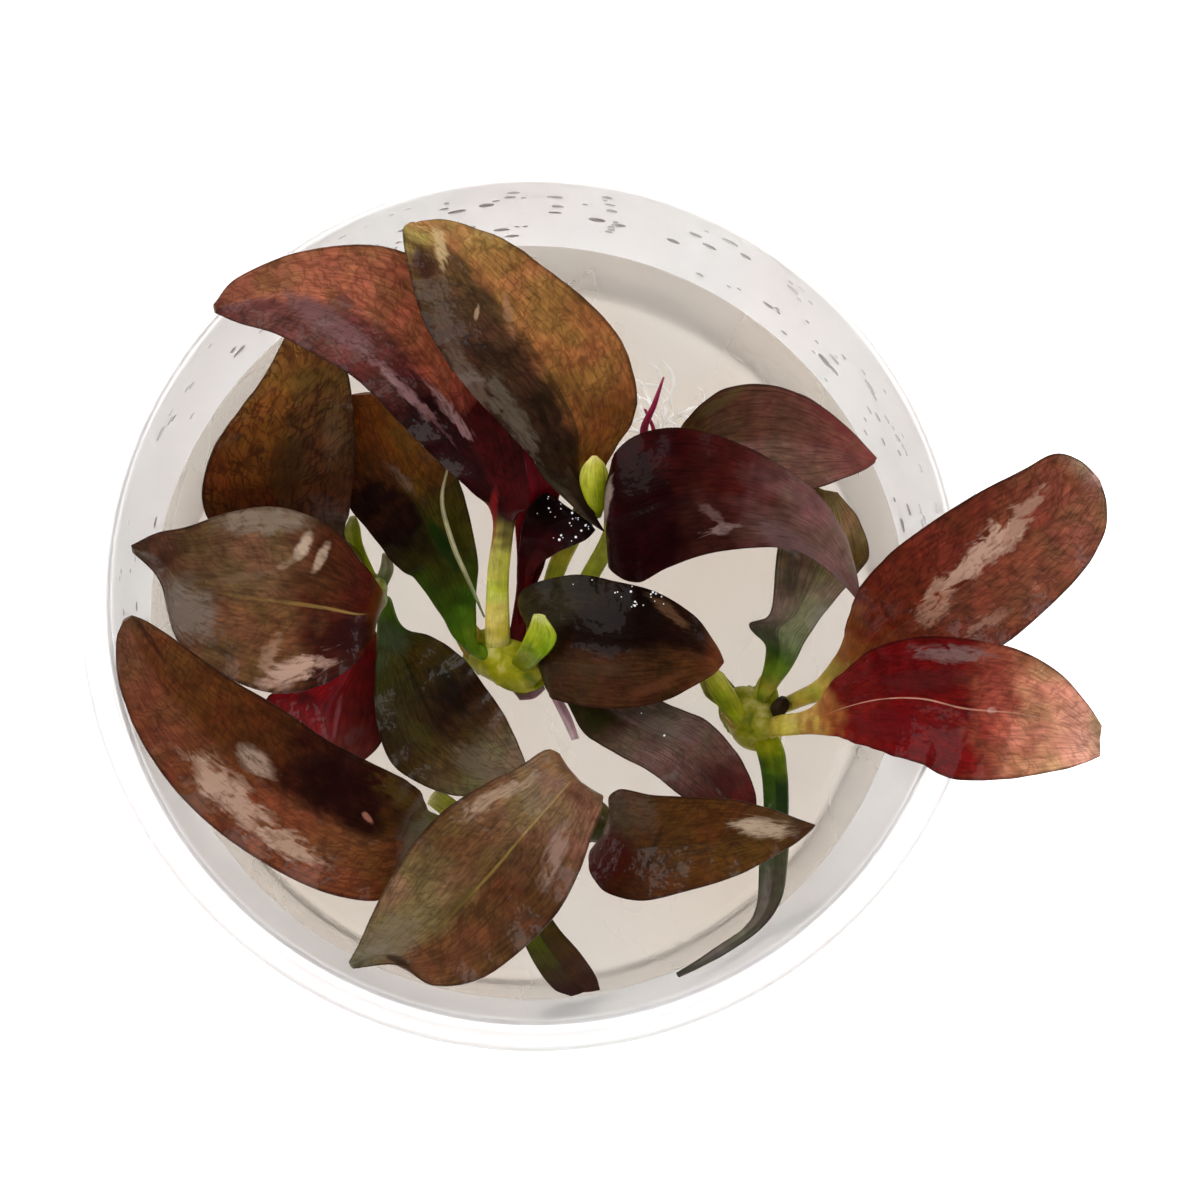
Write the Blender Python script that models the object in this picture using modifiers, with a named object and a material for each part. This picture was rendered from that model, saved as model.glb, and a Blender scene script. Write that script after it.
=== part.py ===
"""Echinodorus plantlets in their growing cup.

The origin is the centre of the cup's underside and +Z is up. Lengths in the tables are
millimetres. Leaf outlines are given as they look from EYE, a point high above the cup's
front: x and y are read level with the rim, and seen() slides each point along its line of
sight to its own height.
"""

from math import cos, sin, tau

import bmesh
import bpy
from mathutils import Vector

MM = 0.001
EYE = Vector((-10.2, -52.6, 549.2))
READING_SHIFT = Vector((-0.1, -0.3))

RIM_Z = 52.0
RIM_RADIUS = 50.0
LIP_RADIUS = 47.4
STEP_Z = 48.5
WALL_RADIUS_AT_STEP = 46.2
WALL_SLOPE = 0.09
WALL_THICKNESS = 1.0
FLOOR_THICKNESS = 1.2
CUP_STEPS = 72

GAP = 0.3
GEL_TOP = 24.0

CROWN_BASE = GEL_TOP + GAP
LEAF_RINGS = 13
LEAF_STRIPS = 4
BLADE_THICKNESS = 0.7

# Each crown: centre x, y, half length, half width, height and turn in degrees.
CROWNS = {
    "crown_middle": (-2.4, -6.6, 4.2, 2.9, 3.6, -20),
    "crown_right": (24.6, -13.0, 3.5, 2.6, 3.6, -35),
    "crown_left": (-18.6, 0.6, 2.6, 2.4, 3.4, 0),
    "crown_back": (13.6, 14.6, 2.6, 2.4, 3.4, 0),
    "crown_front": (6.6, -24.8, 2.6, 2.4, 3.4, 0),
    "crown_front_left": (-6.4, -27.2, 2.6, 2.4, 3.4, 0),
}

# Each leaf: stalk thickness, then its rows from stalk to tip. A row holds one edge
# (x, y, z), the other edge (x, y, z), and how deep the midrib lies below the line between
# them.
LEAVES = {
    "upper_left_leaf": (1.8, (
        (-5.3, -5.0, 29.6, -2.7, -5.0, 29.6, 0.3),
        (-5.2, 2.0, 35.0, -2.7, 2.0, 35.0, 0.4),
        (-4.9, 9.5, 42.0, -1.3, 9.5, 42.0, 0.6),
        (-8.0, 13.2, 44.6, -0.2, 12.8, 43.4, 0.8),
        (-11.7, 16.0, 46.0, -2.0, 19.5, 45.0, 1.0),
        (-15.6, 20.0, 47.0, -4.0, 27.0, 46.0, 1.0),
        (-19.6, 24.0, 48.5, -8.5, 34.3, 46.8, 1.0),
        (-24.0, 26.6, 50.0, -16.0, 38.7, 49.4, 1.0),
        (-28.5, 29.0, 51.5, -25.0, 38.4, 52.8, 0.9),
        (-32.0, 30.4, 53.0, -31.5, 35.8, 53.8, 0.4),
        (-35.0, 31.0, 54.0, -35.4, 32.8, 54.2, 0.0),
    )),
    "top_leaf": (1.6, (
        (-0.3, -2.8, 29.6, 1.3, -3.3, 29.6, 0.3),
        (1.7, 3.8, 32.5, 3.5, 3.2, 32.5, 0.3),
        (3.9, 8.5, 35.8, 5.9, 8.0, 35.8, 0.4),
        (4.5, 11.1, 41.3, 7.0, 11.8, 41.0, 0.6),
        (1.6, 13.4, 43.8, 8.4, 15.8, 43.0, 1.0),
        (-1.4, 16.6, 46.2, 11.0, 19.8, 45.0, 1.6),
        (-6.5, 22.0, 49.5, 10.9, 25.0, 47.5, 1.8),
        (-10.3, 26.9, 51.5, 8.4, 30.2, 49.5, 1.8),
        (-12.8, 32.0, 52.0, 3.0, 35.2, 51.0, 1.6),
        (-14.2, 37.5, 51.5, -3.6, 39.8, 51.0, 1.2),
        (-14.6, 40.7, 50.5, -9.3, 41.8, 50.2, 0.6),
        (-14.0, 41.5, 50.0, -12.6, 41.8, 50.0, 0.0),
    )),
    "left_upright_leaf": (1.5, (
        (-20.6, 3.0, 29.2, -18.8, 4.2, 29.2, 0.3),
        (-28.0, 5.0, 32.0, -20.8, 6.5, 32.0, 0.8),
        (-34.2, 6.5, 34.5, -20.4, 9.0, 36.0, 1.2),
        (-36.5, 10.7, 37.5, -19.9, 13.5, 39.0, 1.4),
        (-35.2, 16.5, 40.5, -19.8, 18.0, 41.0, 1.4),
        (-32.2, 20.8, 43.5, -20.2, 22.5, 43.5, 1.2),
        (-29.5, 24.8, 45.5, -21.0, 26.0, 45.0, 1.0),
        (-27.3, 29.0, 46.5, -23.0, 29.5, 46.0, 0.5),
        (-25.6, 31.5, 47.0, -24.6, 31.7, 47.0, 0.0),
    )),
    "inner_left_leaf": (1.7, (
        (-8.2, -5.0, 29.6, -6.0, -6.6, 29.6, 0.4),
        (-10.0, -2.4, 31.0, -6.5, -0.9, 31.5, 0.8),
        (-12.6, 1.3, 33.0, -6.2, 3.4, 34.0, 1.0),
        (-15.0, 3.2, 34.5, -7.0, 8.0, 37.0, 1.2),
        (-17.6, 6.3, 35.0, -8.3, 12.8, 39.0, 1.2),
        (-20.6, 10.5, 35.5, -9.6, 14.9, 40.0, 1.2),
        (-22.0, 15.5, 36.5, -12.2, 17.6, 40.5, 1.0),
        (-21.6, 20.0, 38.0, -14.9, 20.7, 40.5, 0.6),
        (-20.2, 22.3, 39.5, -17.2, 22.5, 40.5, 0.0),
    )),
    "left_broad_leaf": (1.6, (
        (-18.0, 0.6, 29.2, -16.3, 1.2, 29.2, 0.3),
        (-17.7, -2.2, 36.0, -16.2, -0.6, 36.0, 0.4),
        (-17.8, -4.5, 40.5, -16.9, 0.8, 40.5, 0.5),
        (-19.5, -7.3, 42.5, -18.6, 3.3, 43.0, 0.8),
        (-23.5, -9.9, 43.5, -22.0, 7.3, 44.5, 1.4),
        (-28.5, -10.7, 44.0, -27.5, 9.7, 45.0, 1.6),
        (-34.0, -8.8, 44.5, -33.0, 9.3, 45.5, 1.4),
        (-39.0, -5.0, 45.0, -38.0, 7.6, 46.0, 0.9),
        (-41.0, 1.5, 46.0, -41.3, 6.9, 46.5, 0.4),
        (-43.8, 4.6, 47.0, -44.2, 5.5, 47.0, 0.0),
    )),
    "lower_left_leaf": (1.5, (
        (-8.3, -27.0, 29.2, -7.9, -25.4, 29.2, 0.3),
        (-10.6, -26.4, 32.0, -10.0, -24.3, 32.0, 0.5),
        (-13.0, -28.4, 35.5, -11.8, -23.2, 35.5, 0.8),
        (-16.0, -33.0, 39.0, -12.9, -20.9, 39.0, 1.2),
        (-22.0, -32.7, 42.0, -17.0, -18.7, 42.0, 1.6),
        (-29.0, -29.5, 45.0, -22.5, -15.9, 45.0, 1.8),
        (-36.0, -24.5, 47.5, -28.0, -12.2, 47.5, 1.8),
        (-41.5, -18.2, 50.0, -33.5, -9.0, 50.0, 1.6),
        (-45.0, -11.0, 53.2, -38.3, -5.6, 52.0, 1.2),
        (-45.7, -5.5, 53.8, -42.0, -3.1, 53.2, 0.6),
        (-45.0, -2.9, 54.0, -44.0, -2.2, 53.8, 0.0),
    )),
    "front_leaf": (1.6, (
        (6.8, -24.0, 29.2, 5.0, -23.2, 29.2, 0.3),
        (6.7, -22.2, 36.0, 4.4, -20.6, 36.0, 0.4),
        (7.7, -22.4, 41.5, 1.8, -16.9, 41.5, 0.8),
        (6.4, -26.0, 44.5, -2.5, -19.2, 44.5, 1.4),
        (5.0, -30.0, 46.5, -7.0, -21.5, 46.0, 1.7),
        (2.5, -34.7, 47.5, -10.8, -24.4, 47.0, 1.8),
        (-1.5, -38.8, 48.0, -13.8, -28.0, 47.5, 1.7),
        (-6.0, -41.9, 48.3, -16.0, -31.6, 48.0, 1.5),
        (-11.0, -42.5, 48.5, -17.6, -34.8, 48.5, 1.2),
        (-14.8, -40.3, 49.0, -19.0, -38.0, 49.0, 0.7),
        (-19.6, -40.7, 49.5, -20.1, -40.0, 49.5, 0.0),
    )),
    "small_front_leaf": (1.3, (
        (-4.2, -28.2, 29.2, -6.0, -28.9, 29.2, 0.3),
        (-0.5, -31.0, 30.0, -3.2, -32.0, 30.0, 0.5),
        (1.0, -33.9, 30.3, -2.0, -35.0, 30.3, 0.7),
        (2.8, -36.5, 30.3, -0.9, -38.2, 30.3, 0.7),
        (5.0, -39.0, 29.5, 0.6, -41.0, 29.5, 0.7),
        (6.7, -41.5, 28.0, 2.2, -42.9, 28.0, 0.6),
        (7.2, -43.0, 27.0, 4.0, -43.7, 27.0, 0.2),
    )),
    "olive_leaf": (1.4, (
        (-15.9, -0.2, 28.6, -17.2, -1.4, 28.6, 0.3),
        (-14.5, -3.3, 30.5, -17.2, -4.9, 30.5, 0.6),
        (-11.0, -4.6, 32.0, -17.5, -9.3, 32.0, 1.0),
        (-8.0, -6.6, 32.8, -17.2, -14.0, 32.8, 1.3),
        (-5.8, -9.4, 33.0, -15.6, -18.3, 33.2, 1.4),
        (-3.8, -12.2, 33.0, -12.4, -20.6, 33.2, 1.3),
        (-2.2, -15.2, 33.0, -8.3, -21.9, 33.0, 1.0),
        (-1.0, -18.2, 32.8, -3.8, -21.2, 32.5, 0.6),
        (-0.9, -20.0, 32.5, -1.8, -20.6, 32.5, 0.0),
    )),
    "young_crimson_leaf": (1.1, (
        (-18.0, -2.8, 26.6, -19.8, -2.8, 26.6, 0.2),
        (-16.7, -5.2, 27.6, -21.3, -5.2, 28.0, 0.5),
        (-15.6, -9.0, 28.6, -26.0, -9.2, 29.5, 1.0),
        (-15.6, -13.0, 29.2, -29.3, -11.5, 30.5, 1.2),
        (-17.0, -16.5, 29.8, -27.5, -14.8, 31.0, 0.9),
        (-19.3, -18.5, 30.3, -24.6, -17.6, 31.0, 0.4),
        (-21.4, -19.6, 30.6, -22.5, -19.4, 30.8, 0.0),
    )),
    "centre_leaf": (1.5, (
        (0.7, -5.7, 29.6, 0.4, -7.7, 29.6, 0.3),
        (-1.6, 0.3, 34.0, 1.4, -10.6, 32.6, 0.3),
        (4.0, 2.4, 37.0, 4.0, -11.8, 36.0, -0.6),
        (9.0, 1.7, 39.5, 9.0, -12.3, 38.5, -0.9),
        (13.5, 0.5, 40.5, 14.0, -11.5, 39.5, -0.9),
        (17.5, -2.0, 40.5, 17.3, -9.9, 39.8, -0.6),
        (19.8, -5.0, 39.8, 19.5, -8.6, 39.4, -0.2),
        (20.8, -6.9, 39.0, 20.6, -7.5, 39.0, 0.0),
    )),
    "short_dark_leaf": (1.1, (
        (-2.2, -3.6, 29.4, -1.2, -4.1, 29.4, 0.2),
        (-1.9, 0.6, 32.0, -0.6, 0.2, 32.0, 0.3),
        (-1.8, 4.2, 35.2, 0.4, 3.4, 35.2, 0.6),
        (-1.0, 9.0, 38.8, 3.2, 5.2, 38.4, 0.8),
        (1.1, 11.4, 40.2, 5.0, 6.0, 39.2, 0.6),
        (3.3, 10.1, 40.2, 6.0, 6.6, 39.6, 0.4),
        (6.0, 8.3, 39.9, 6.7, 7.4, 39.8, 0.0),
    )),
    "lower_centre_leaf": (1.2, (
        (1.8, -7.7, 26.4, 0.7, -9.4, 26.4, 0.2),
        (6.0, -8.0, 29.6, 3.4, -11.4, 29.6, 0.5),
        (11.0, -10.0, 32.0, 5.3, -14.8, 32.0, 0.8),
        (15.5, -12.1, 33.5, 8.5, -17.0, 33.5, 1.0),
        (19.3, -13.9, 34.0, 12.5, -19.1, 34.0, 1.0),
        (22.3, -17.3, 34.0, 16.0, -21.8, 34.0, 0.9),
        (24.1, -21.0, 33.5, 19.6, -24.0, 33.5, 0.5),
        (24.4, -23.6, 33.0, 23.2, -24.3, 33.0, 0.0),
    )),
    "centre_right_leaf": (1.6, (
        (1.9, -4.5, 28.9, 3.2, -5.4, 28.9, 0.3),
        (4.6, 1.4, 32.6, 6.2, 0.6, 32.6, 0.3),
        (7.6, 7.4, 38.0, 9.0, 5.6, 38.0, 0.4),
        (8.0, 13.6, 44.5, 8.6, 2.8, 42.5, -0.3),
        (10.3, 17.4, 47.0, 11.4, 1.6, 44.0, -1.2),
        (15.0, 18.8, 48.0, 14.5, 3.2, 45.5, -1.6),
        (20.0, 18.0, 48.0, 19.0, 4.8, 46.5, -1.6),
        (25.5, 15.6, 47.5, 24.0, 5.5, 47.0, -1.4),
        (30.5, 12.2, 46.5, 28.5, 5.3, 46.5, -1.1),
        (33.8, 7.8, 45.0, 31.8, 3.4, 45.5, -0.8),
        (35.2, 3.5, 43.5, 34.0, 1.4, 44.0, -0.4),
        (35.9, 0.2, 42.5, 35.5, -0.2, 42.5, 0.0),
    )),
    "upper_right_leaf": (1.4, (
        (13.9, 15.9, 29.2, 15.0, 14.3, 29.2, 0.3),
        (15.5, 17.6, 34.0, 16.8, 14.0, 34.0, 0.5),
        (17.3, 20.3, 38.0, 19.0, 12.2, 37.5, 0.9),
        (20.5, 23.0, 40.0, 22.5, 11.5, 39.5, 1.2),
        (25.5, 23.7, 41.0, 26.5, 11.6, 40.5, 1.2),
        (30.0, 22.3, 41.2, 30.5, 12.0, 40.8, 1.1),
        (34.0, 19.5, 41.0, 34.0, 13.2, 40.6, 0.7),
        (36.7, 16.7, 40.6, 36.4, 14.2, 40.4, 0.3),
        (37.8, 15.6, 40.2, 37.6, 15.0, 40.2, 0.0),
    )),
    "right_upright_leaf": (1.5, (
        (24.7, -10.0, 30.6, 26.3, -10.4, 30.6, 0.3),
        (25.2, -7.0, 33.5, 28.2, -8.0, 33.5, 0.5),
        (24.4, -3.4, 36.0, 29.9, -4.6, 36.0, 1.0),
        (26.0, -0.5, 37.5, 32.2, -1.0, 37.5, 1.1),
        (26.5, 3.0, 38.2, 35.5, 2.6, 38.0, 1.1),
        (27.0, 6.5, 38.0, 36.9, 5.0, 37.8, 1.1),
        (28.5, 10.0, 37.5, 35.8, 8.6, 37.3, 0.8),
        (30.3, 12.5, 37.0, 33.4, 11.7, 36.8, 0.3),
    )),
    "outer_upper_leaf": (1.6, (
        (27.6, -11.0, 29.4, 28.0, -12.4, 29.4, 0.3),
        (31.0, -9.1, 36.0, 32.0, -11.2, 35.5, 0.4),
        (33.7, -5.2, 42.5, 37.0, -10.4, 41.0, 0.7),
        (35.2, 0.0, 48.0, 42.0, -9.0, 47.0, 1.2),
        (38.5, 4.3, 52.5, 47.0, -7.3, 53.4, 1.4),
        (43.5, 8.2, 56.0, 52.0, -4.9, 55.0, 1.5),
        (49.0, 11.7, 58.0, 56.6, -1.0, 56.5, 1.5),
        (54.0, 14.3, 59.0, 60.5, 3.0, 57.5, 1.4),
        (57.5, 16.1, 59.5, 63.0, 7.4, 58.0, 1.1),
        (60.2, 15.4, 59.5, 63.2, 10.5, 58.5, 0.6),
        (61.8, 13.8, 59.3, 62.6, 12.4, 59.0, 0.0),
    )),
    "outer_lower_leaf": (1.7, (
        (26.2, -13.1, 29.2, 26.0, -15.2, 29.2, 0.3),
        (30.3, -12.2, 38.5, 30.3, -15.0, 38.5, 0.4),
        (33.0, -9.0, 46.0, 33.7, -15.5, 45.0, 0.8),
        (37.0, -5.8, 52.0, 37.5, -16.8, 50.0, 1.3),
        (42.0, -4.3, 56.5, 42.0, -18.2, 54.0, 1.5),
        (47.5, -4.5, 59.0, 46.3, -20.0, 56.5, 1.6),
        (53.0, -5.6, 60.5, 52.0, -19.9, 58.0, 1.6),
        (57.5, -8.0, 60.5, 56.5, -19.2, 58.5, 1.4),
        (60.5, -11.2, 60.0, 60.0, -18.3, 58.5, 0.9),
        (62.4, -14.0, 59.0, 62.2, -17.4, 58.5, 0.2),
    )),
    "narrow_trailing_leaf": (1.5, (
        (27.2, -16.2, 28.6, 24.2, -16.2, 28.6, 0.4),
        (27.7, -19.5, 30.5, 25.0, -19.5, 30.5, 0.5),
        (27.8, -24.0, 32.0, 25.2, -24.0, 32.0, 0.5),
        (27.7, -28.5, 32.5, 24.7, -29.0, 32.5, 0.6),
        (27.0, -33.0, 33.5, 24.4, -33.5, 33.5, 0.5),
        (24.8, -36.2, 35.0, 23.2, -36.0, 35.0, 0.3),
        (21.1, -38.9, 37.0, 20.3, -38.1, 37.0, 0.2),
        (18.2, -40.5, 38.5, 17.8, -39.8, 38.5, 0.1),
        (15.9, -41.6, 39.5, 15.6, -41.1, 39.5, 0.0),
    )),
    "front_right_leaf": (1.5, (
        (8.7, -24.3, 29.2, 8.0, -26.0, 29.2, 0.3),
        (8.2, -23.2, 34.0, 6.0, -28.8, 34.0, 0.8),
        (9.2, -21.2, 37.5, 7.0, -31.8, 37.0, 1.6),
        (13.0, -21.8, 39.5, 11.3, -33.3, 39.0, 1.6),
        (17.5, -22.0, 40.5, 16.5, -32.3, 40.0, 1.4),
        (22.0, -22.3, 41.0, 21.5, -30.8, 40.5, 1.2),
        (26.0, -23.3, 40.5, 25.5, -28.9, 40.2, 0.9),
        (29.0, -24.4, 39.6, 28.6, -27.0, 39.4, 0.4),
        (30.8, -25.0, 39.0, 30.6, -25.4, 39.0, 0.0),
    )),
    "bud": (1.6, (
        (-2.9, -8.4, 29.6, -1.2, -9.2, 29.6, 0.3),
        (-1.7, -5.8, 36.6, 0.9, -7.4, 36.4, 0.5),
        (-0.6, -3.4, 38.6, 2.4, -4.6, 38.4, 0.4),
        (-0.1, -2.0, 39.4, 1.2, -2.2, 39.4, 0.1),
    )),
    "old_stalk": (2.0, (
        (19.2, -11.2, 26.6, 21.4, -9.2, 26.6, 0.2),
        (18.5, -10.2, 27.6, 20.8, -8.5, 27.6, 0.2),
        (18.1, -9.2, 28.6, 19.9, -7.8, 28.6, 0.2),
    )),
}

# Leaf colours: red, green, blue.
GREEN_STALK = (0.30, 0.36, 0.07)
BROWN = (0.20, 0.09, 0.05)
OLIVE = (0.10, 0.09, 0.05)
WINE = (0.11, 0.02, 0.03)
COPPER = (0.33, 0.12, 0.08)
COLOURS = {
    "upper_left_leaf": COPPER,
    "outer_upper_leaf": COPPER,
    "outer_lower_leaf": COPPER,
    "centre_right_leaf": WINE,
    "short_dark_leaf": WINE,
    "young_crimson_leaf": (0.30, 0.01, 0.03),
    "inner_left_leaf": OLIVE,
    "olive_leaf": OLIVE,
    "centre_leaf": OLIVE,
    "right_upright_leaf": OLIVE,
    "narrow_trailing_leaf": OLIVE,
    "small_front_leaf": OLIVE,
    "bud": GREEN_STALK,
    "old_stalk": GREEN_STALK,
}


def clear_scene():
    """Removes whatever the scene holds."""
    for obj in list(bpy.data.objects):
        bpy.data.objects.remove(obj, do_unlink=True)


def material(name, colour, roughness, alpha=1.0):
    """A Principled material."""
    made = bpy.data.materials.new(name)
    made.use_nodes = True
    shader = made.node_tree.nodes["Principled BSDF"]
    shader.inputs["Base Color"].default_value = (*colour, 1.0)
    shader.inputs["Roughness"].default_value = roughness
    shader.inputs["Alpha"].default_value = alpha
    made.diffuse_color = (*colour, alpha)
    return made


def object_from(name, bm, parts, look):
    """Turns a bmesh into a named object of the parts collection."""
    mesh = bpy.data.meshes.new(name)
    bm.to_mesh(mesh)
    bm.free()
    obj = bpy.data.objects.new(name, mesh)
    mesh.materials.append(look)
    parts.objects.link(obj)
    return obj


def turned(name, profile, parts, look):
    """A closed body turned from (radius, height) points, from the top middle to the bottom."""
    bm = bmesh.new()
    verts = [bm.verts.new((r * MM, 0.0, z * MM)) for r, z in profile]
    for first, second in zip(verts, verts[1:]):
        bm.edges.new((first, second))
    obj = object_from(name, bm, parts, look)
    screw = obj.modifiers.new("Turn", "SCREW")
    screw.axis = "Z"
    screw.angle = tau
    screw.steps = screw.render_steps = CUP_STEPS
    screw.use_merge_vertices = True
    screw.merge_threshold = 0.00001
    return obj


def wall_radius(z):
    """Inside radius of the cup's wall at height z."""
    return WALL_RADIUS_AT_STEP - WALL_SLOPE * (STEP_Z - z)


def seen(x, y, z):
    """The point at height z that looks, from EYE, to be at x, y level with the rim."""
    slide = (EYE.z - z) / (EYE.z - RIM_Z)
    seen_x = EYE.x + (x - EYE.x) * slide + READING_SHIFT.x
    seen_y = EYE.y + (y - EYE.y) * slide + READING_SHIFT.y
    return Vector((seen_x, seen_y, z))


def through(values, where):
    """A smooth curve through equally spaced values, read at a position from 0 to 1."""
    last = len(values) - 1
    place = where * last
    step = min(int(place), last - 1)
    t = place - step
    before = values[step - 1] if step else 2 * values[0] - values[1]
    start, end = values[step], values[step + 1]
    after = values[step + 2] if step + 2 <= last else 2 * values[last] - values[last - 1]
    bend = 2 * before - 5 * start + 4 * end - after
    twist = 3 * (start - end) + after - before
    return start + 0.5 * t * (end - before + t * (bend + t * twist))


def leaf(name, stalk_thickness, rows, parts, look):
    """A leaf with its stalk: a grid bent through its rows, then given a thickness."""
    edge_a = [seen(*row[0:3]) for row in rows]
    edge_b = [seen(*row[3:6]) for row in rows]
    middle = [(a + b) / 2 for a, b in zip(edge_a, edge_b)]
    dips = [row[6] for row in rows]
    bm = bmesh.new()
    bmesh.ops.create_grid(
        bm, x_segments=LEAF_RINGS - 1, y_segments=LEAF_STRIPS, size=1.0
    )
    weights = bm.verts.layers.deform.verify()
    for vert in bm.verts:
        along = (vert.co.x + 1) / 2
        across = vert.co.y
        a = through(edge_a, along)
        b = through(edge_b, along)
        ahead = through(middle, min(along + 0.02, 1.0))
        behind = through(middle, max(along - 0.02, 0.0))
        up = (b - a).cross(ahead - behind).normalized()
        dip = through(dips, along) * (1 - across * across)
        half = (b - a) * (across / 2)
        vert.co = ((a + b) / 2 + half - up * dip) * MM
        width = (b - a).length
        slim = min(1.0, max(0.0, (7.0 - width) / 4.0)) * (1 - along)
        thickness = BLADE_THICKNESS + (stalk_thickness - BLADE_THICKNESS) * slim
        vert[weights][0] = thickness / stalk_thickness
    obj = object_from(name, bm, parts, look)
    obj.vertex_groups.new(name="thickness")
    solid = obj.modifiers.new("Thickness", "SOLIDIFY")
    solid.thickness = stalk_thickness * MM
    solid.offset = 0.0
    solid.vertex_group = "thickness"
    return obj


def crown(name, x, y, length, width, height, turn, parts, look):
    """A low rounded crown that stands on the gel."""
    bm = bmesh.new()
    bmesh.ops.create_uvsphere(bm, u_segments=12, v_segments=6, radius=1.0)
    centre = seen(x, y, CROWN_BASE + height / 2)
    angle = turn * tau / 360
    for vert in bm.verts:
        px = vert.co.x * length
        py = vert.co.y * width
        pz = vert.co.z * height / 2
        vert.co = (
            (centre.x + px * cos(angle) - py * sin(angle)) * MM,
            (centre.y + px * sin(angle) + py * cos(angle)) * MM,
            (centre.z + pz) * MM,
        )
    return object_from(name, bm, parts, look)


def main():
    clear_scene()
    parts = bpy.data.collections.new("echinodorus_plant")
    bpy.context.scene.collection.children.link(parts)

    cup_profile = (
        (0.0, FLOOR_THICKNESS),
        (40.4, FLOOR_THICKNESS),
        (41.6, FLOOR_THICKNESS + 0.6),
        (wall_radius(3.4), 3.4),
        (WALL_RADIUS_AT_STEP, STEP_Z),
        (46.6, 50.2),
        (LIP_RADIUS - 0.1, 50.6),
        (LIP_RADIUS, 51.6),
        (LIP_RADIUS + 0.4, RIM_Z),
        (RIM_RADIUS - 0.4, RIM_Z),
        (RIM_RADIUS, 51.6),
        (RIM_RADIUS, 49.4),
        (RIM_RADIUS - 1.6, 48.9),
        (WALL_RADIUS_AT_STEP + WALL_THICKNESS + 0.2, 48.0),
        (wall_radius(2.0) + WALL_THICKNESS, 2.0),
        (wall_radius(0.6) + 0.4, 0.5),
        (41.4, 0.0),
        (0.0, 0.0),
    )
    milky = material("cup_plastic", (0.86, 0.84, 0.83), 0.25, 0.6)
    turned("cup", cup_profile, parts, milky)

    gel_profile = (
        (0.0, GEL_TOP),
        (wall_radius(GEL_TOP) - GAP, GEL_TOP),
        (wall_radius(3.9) - GAP, 3.9),
        (41.2, FLOOR_THICKNESS + GAP + 0.7),
        (40.2, FLOOR_THICKNESS + GAP),
        (0.0, FLOOR_THICKNESS + GAP),
    )
    clear = material("growing_gel", (0.78, 0.70, 0.62), 0.12, 0.7)
    turned("gel", gel_profile, parts, clear)

    for name, numbers in CROWNS.items():
        look = material(name, GREEN_STALK, 0.45)
        crown(name, *numbers, parts, look)

    for name, (stalk_thickness, rows) in LEAVES.items():
        look = material(name, COLOURS.get(name, BROWN), 0.35)
        leaf(name, stalk_thickness, rows, parts, look)


main()
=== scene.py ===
"""Looks of the echinodorus plantlets in their growing cup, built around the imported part.

Lengths in the tables are millimetres. Leaf outlines are given as they look from EYE, which is
also where the camera stands, and seen() slides each point along its line of sight to its own
height.
"""

from math import atan2, cos, exp, hypot, pi, radians, sin, sqrt, tau
from random import Random

import bmesh
import bpy
from mathutils import Matrix, Vector


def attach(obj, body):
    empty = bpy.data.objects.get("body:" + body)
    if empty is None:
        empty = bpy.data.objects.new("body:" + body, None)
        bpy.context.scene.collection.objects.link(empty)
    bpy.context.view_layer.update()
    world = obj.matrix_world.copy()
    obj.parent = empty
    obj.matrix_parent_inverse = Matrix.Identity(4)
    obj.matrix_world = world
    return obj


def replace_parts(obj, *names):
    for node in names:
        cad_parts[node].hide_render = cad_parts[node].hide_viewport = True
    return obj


MM = 0.001
EYE = Vector((-10.2, -52.6, 549.2))
READING_SHIFT = Vector((-0.1, -0.3))

RIM_Z = 52.0
RIM_RADIUS = 50.0
LIP_RADIUS = 47.4
STEP_Z = 48.5
WALL_RADIUS_AT_STEP = 46.2
WALL_SLOPE = 0.09
WALL_THICKNESS = 1.0
FLOOR_THICKNESS = 1.2
CUP_STEPS = 192

GAP = 0.3
GEL_TOP = 24.0
CROWN_BASE = GEL_TOP + GAP

LEAF_RINGS = 72
LEAF_STRIPS = 26
BLADE_THICKNESS = 0.55
VEIN_TINT = (0.4, 0.3, 0.24)

# Each crown: centre x, y, half length, half width, height and turn in degrees.
CROWNS = {
    "crown_middle": (-2.5, -6.7, 5.2, 3.7, 5.4, -14),
    "crown_right": (24.0, -13.4, 4.2, 3.3, 5.2, -50),
    "crown_left": (-18.6, 0.6, 2.6, 2.4, 3.4, 0),
    "crown_back": (13.6, 14.6, 2.6, 2.4, 3.4, 0),
    "crown_front": (6.6, -24.8, 2.6, 2.4, 3.4, 0),
    "crown_front_left": (-6.4, -27.2, 2.6, 2.4, 3.4, 0),
}

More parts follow.
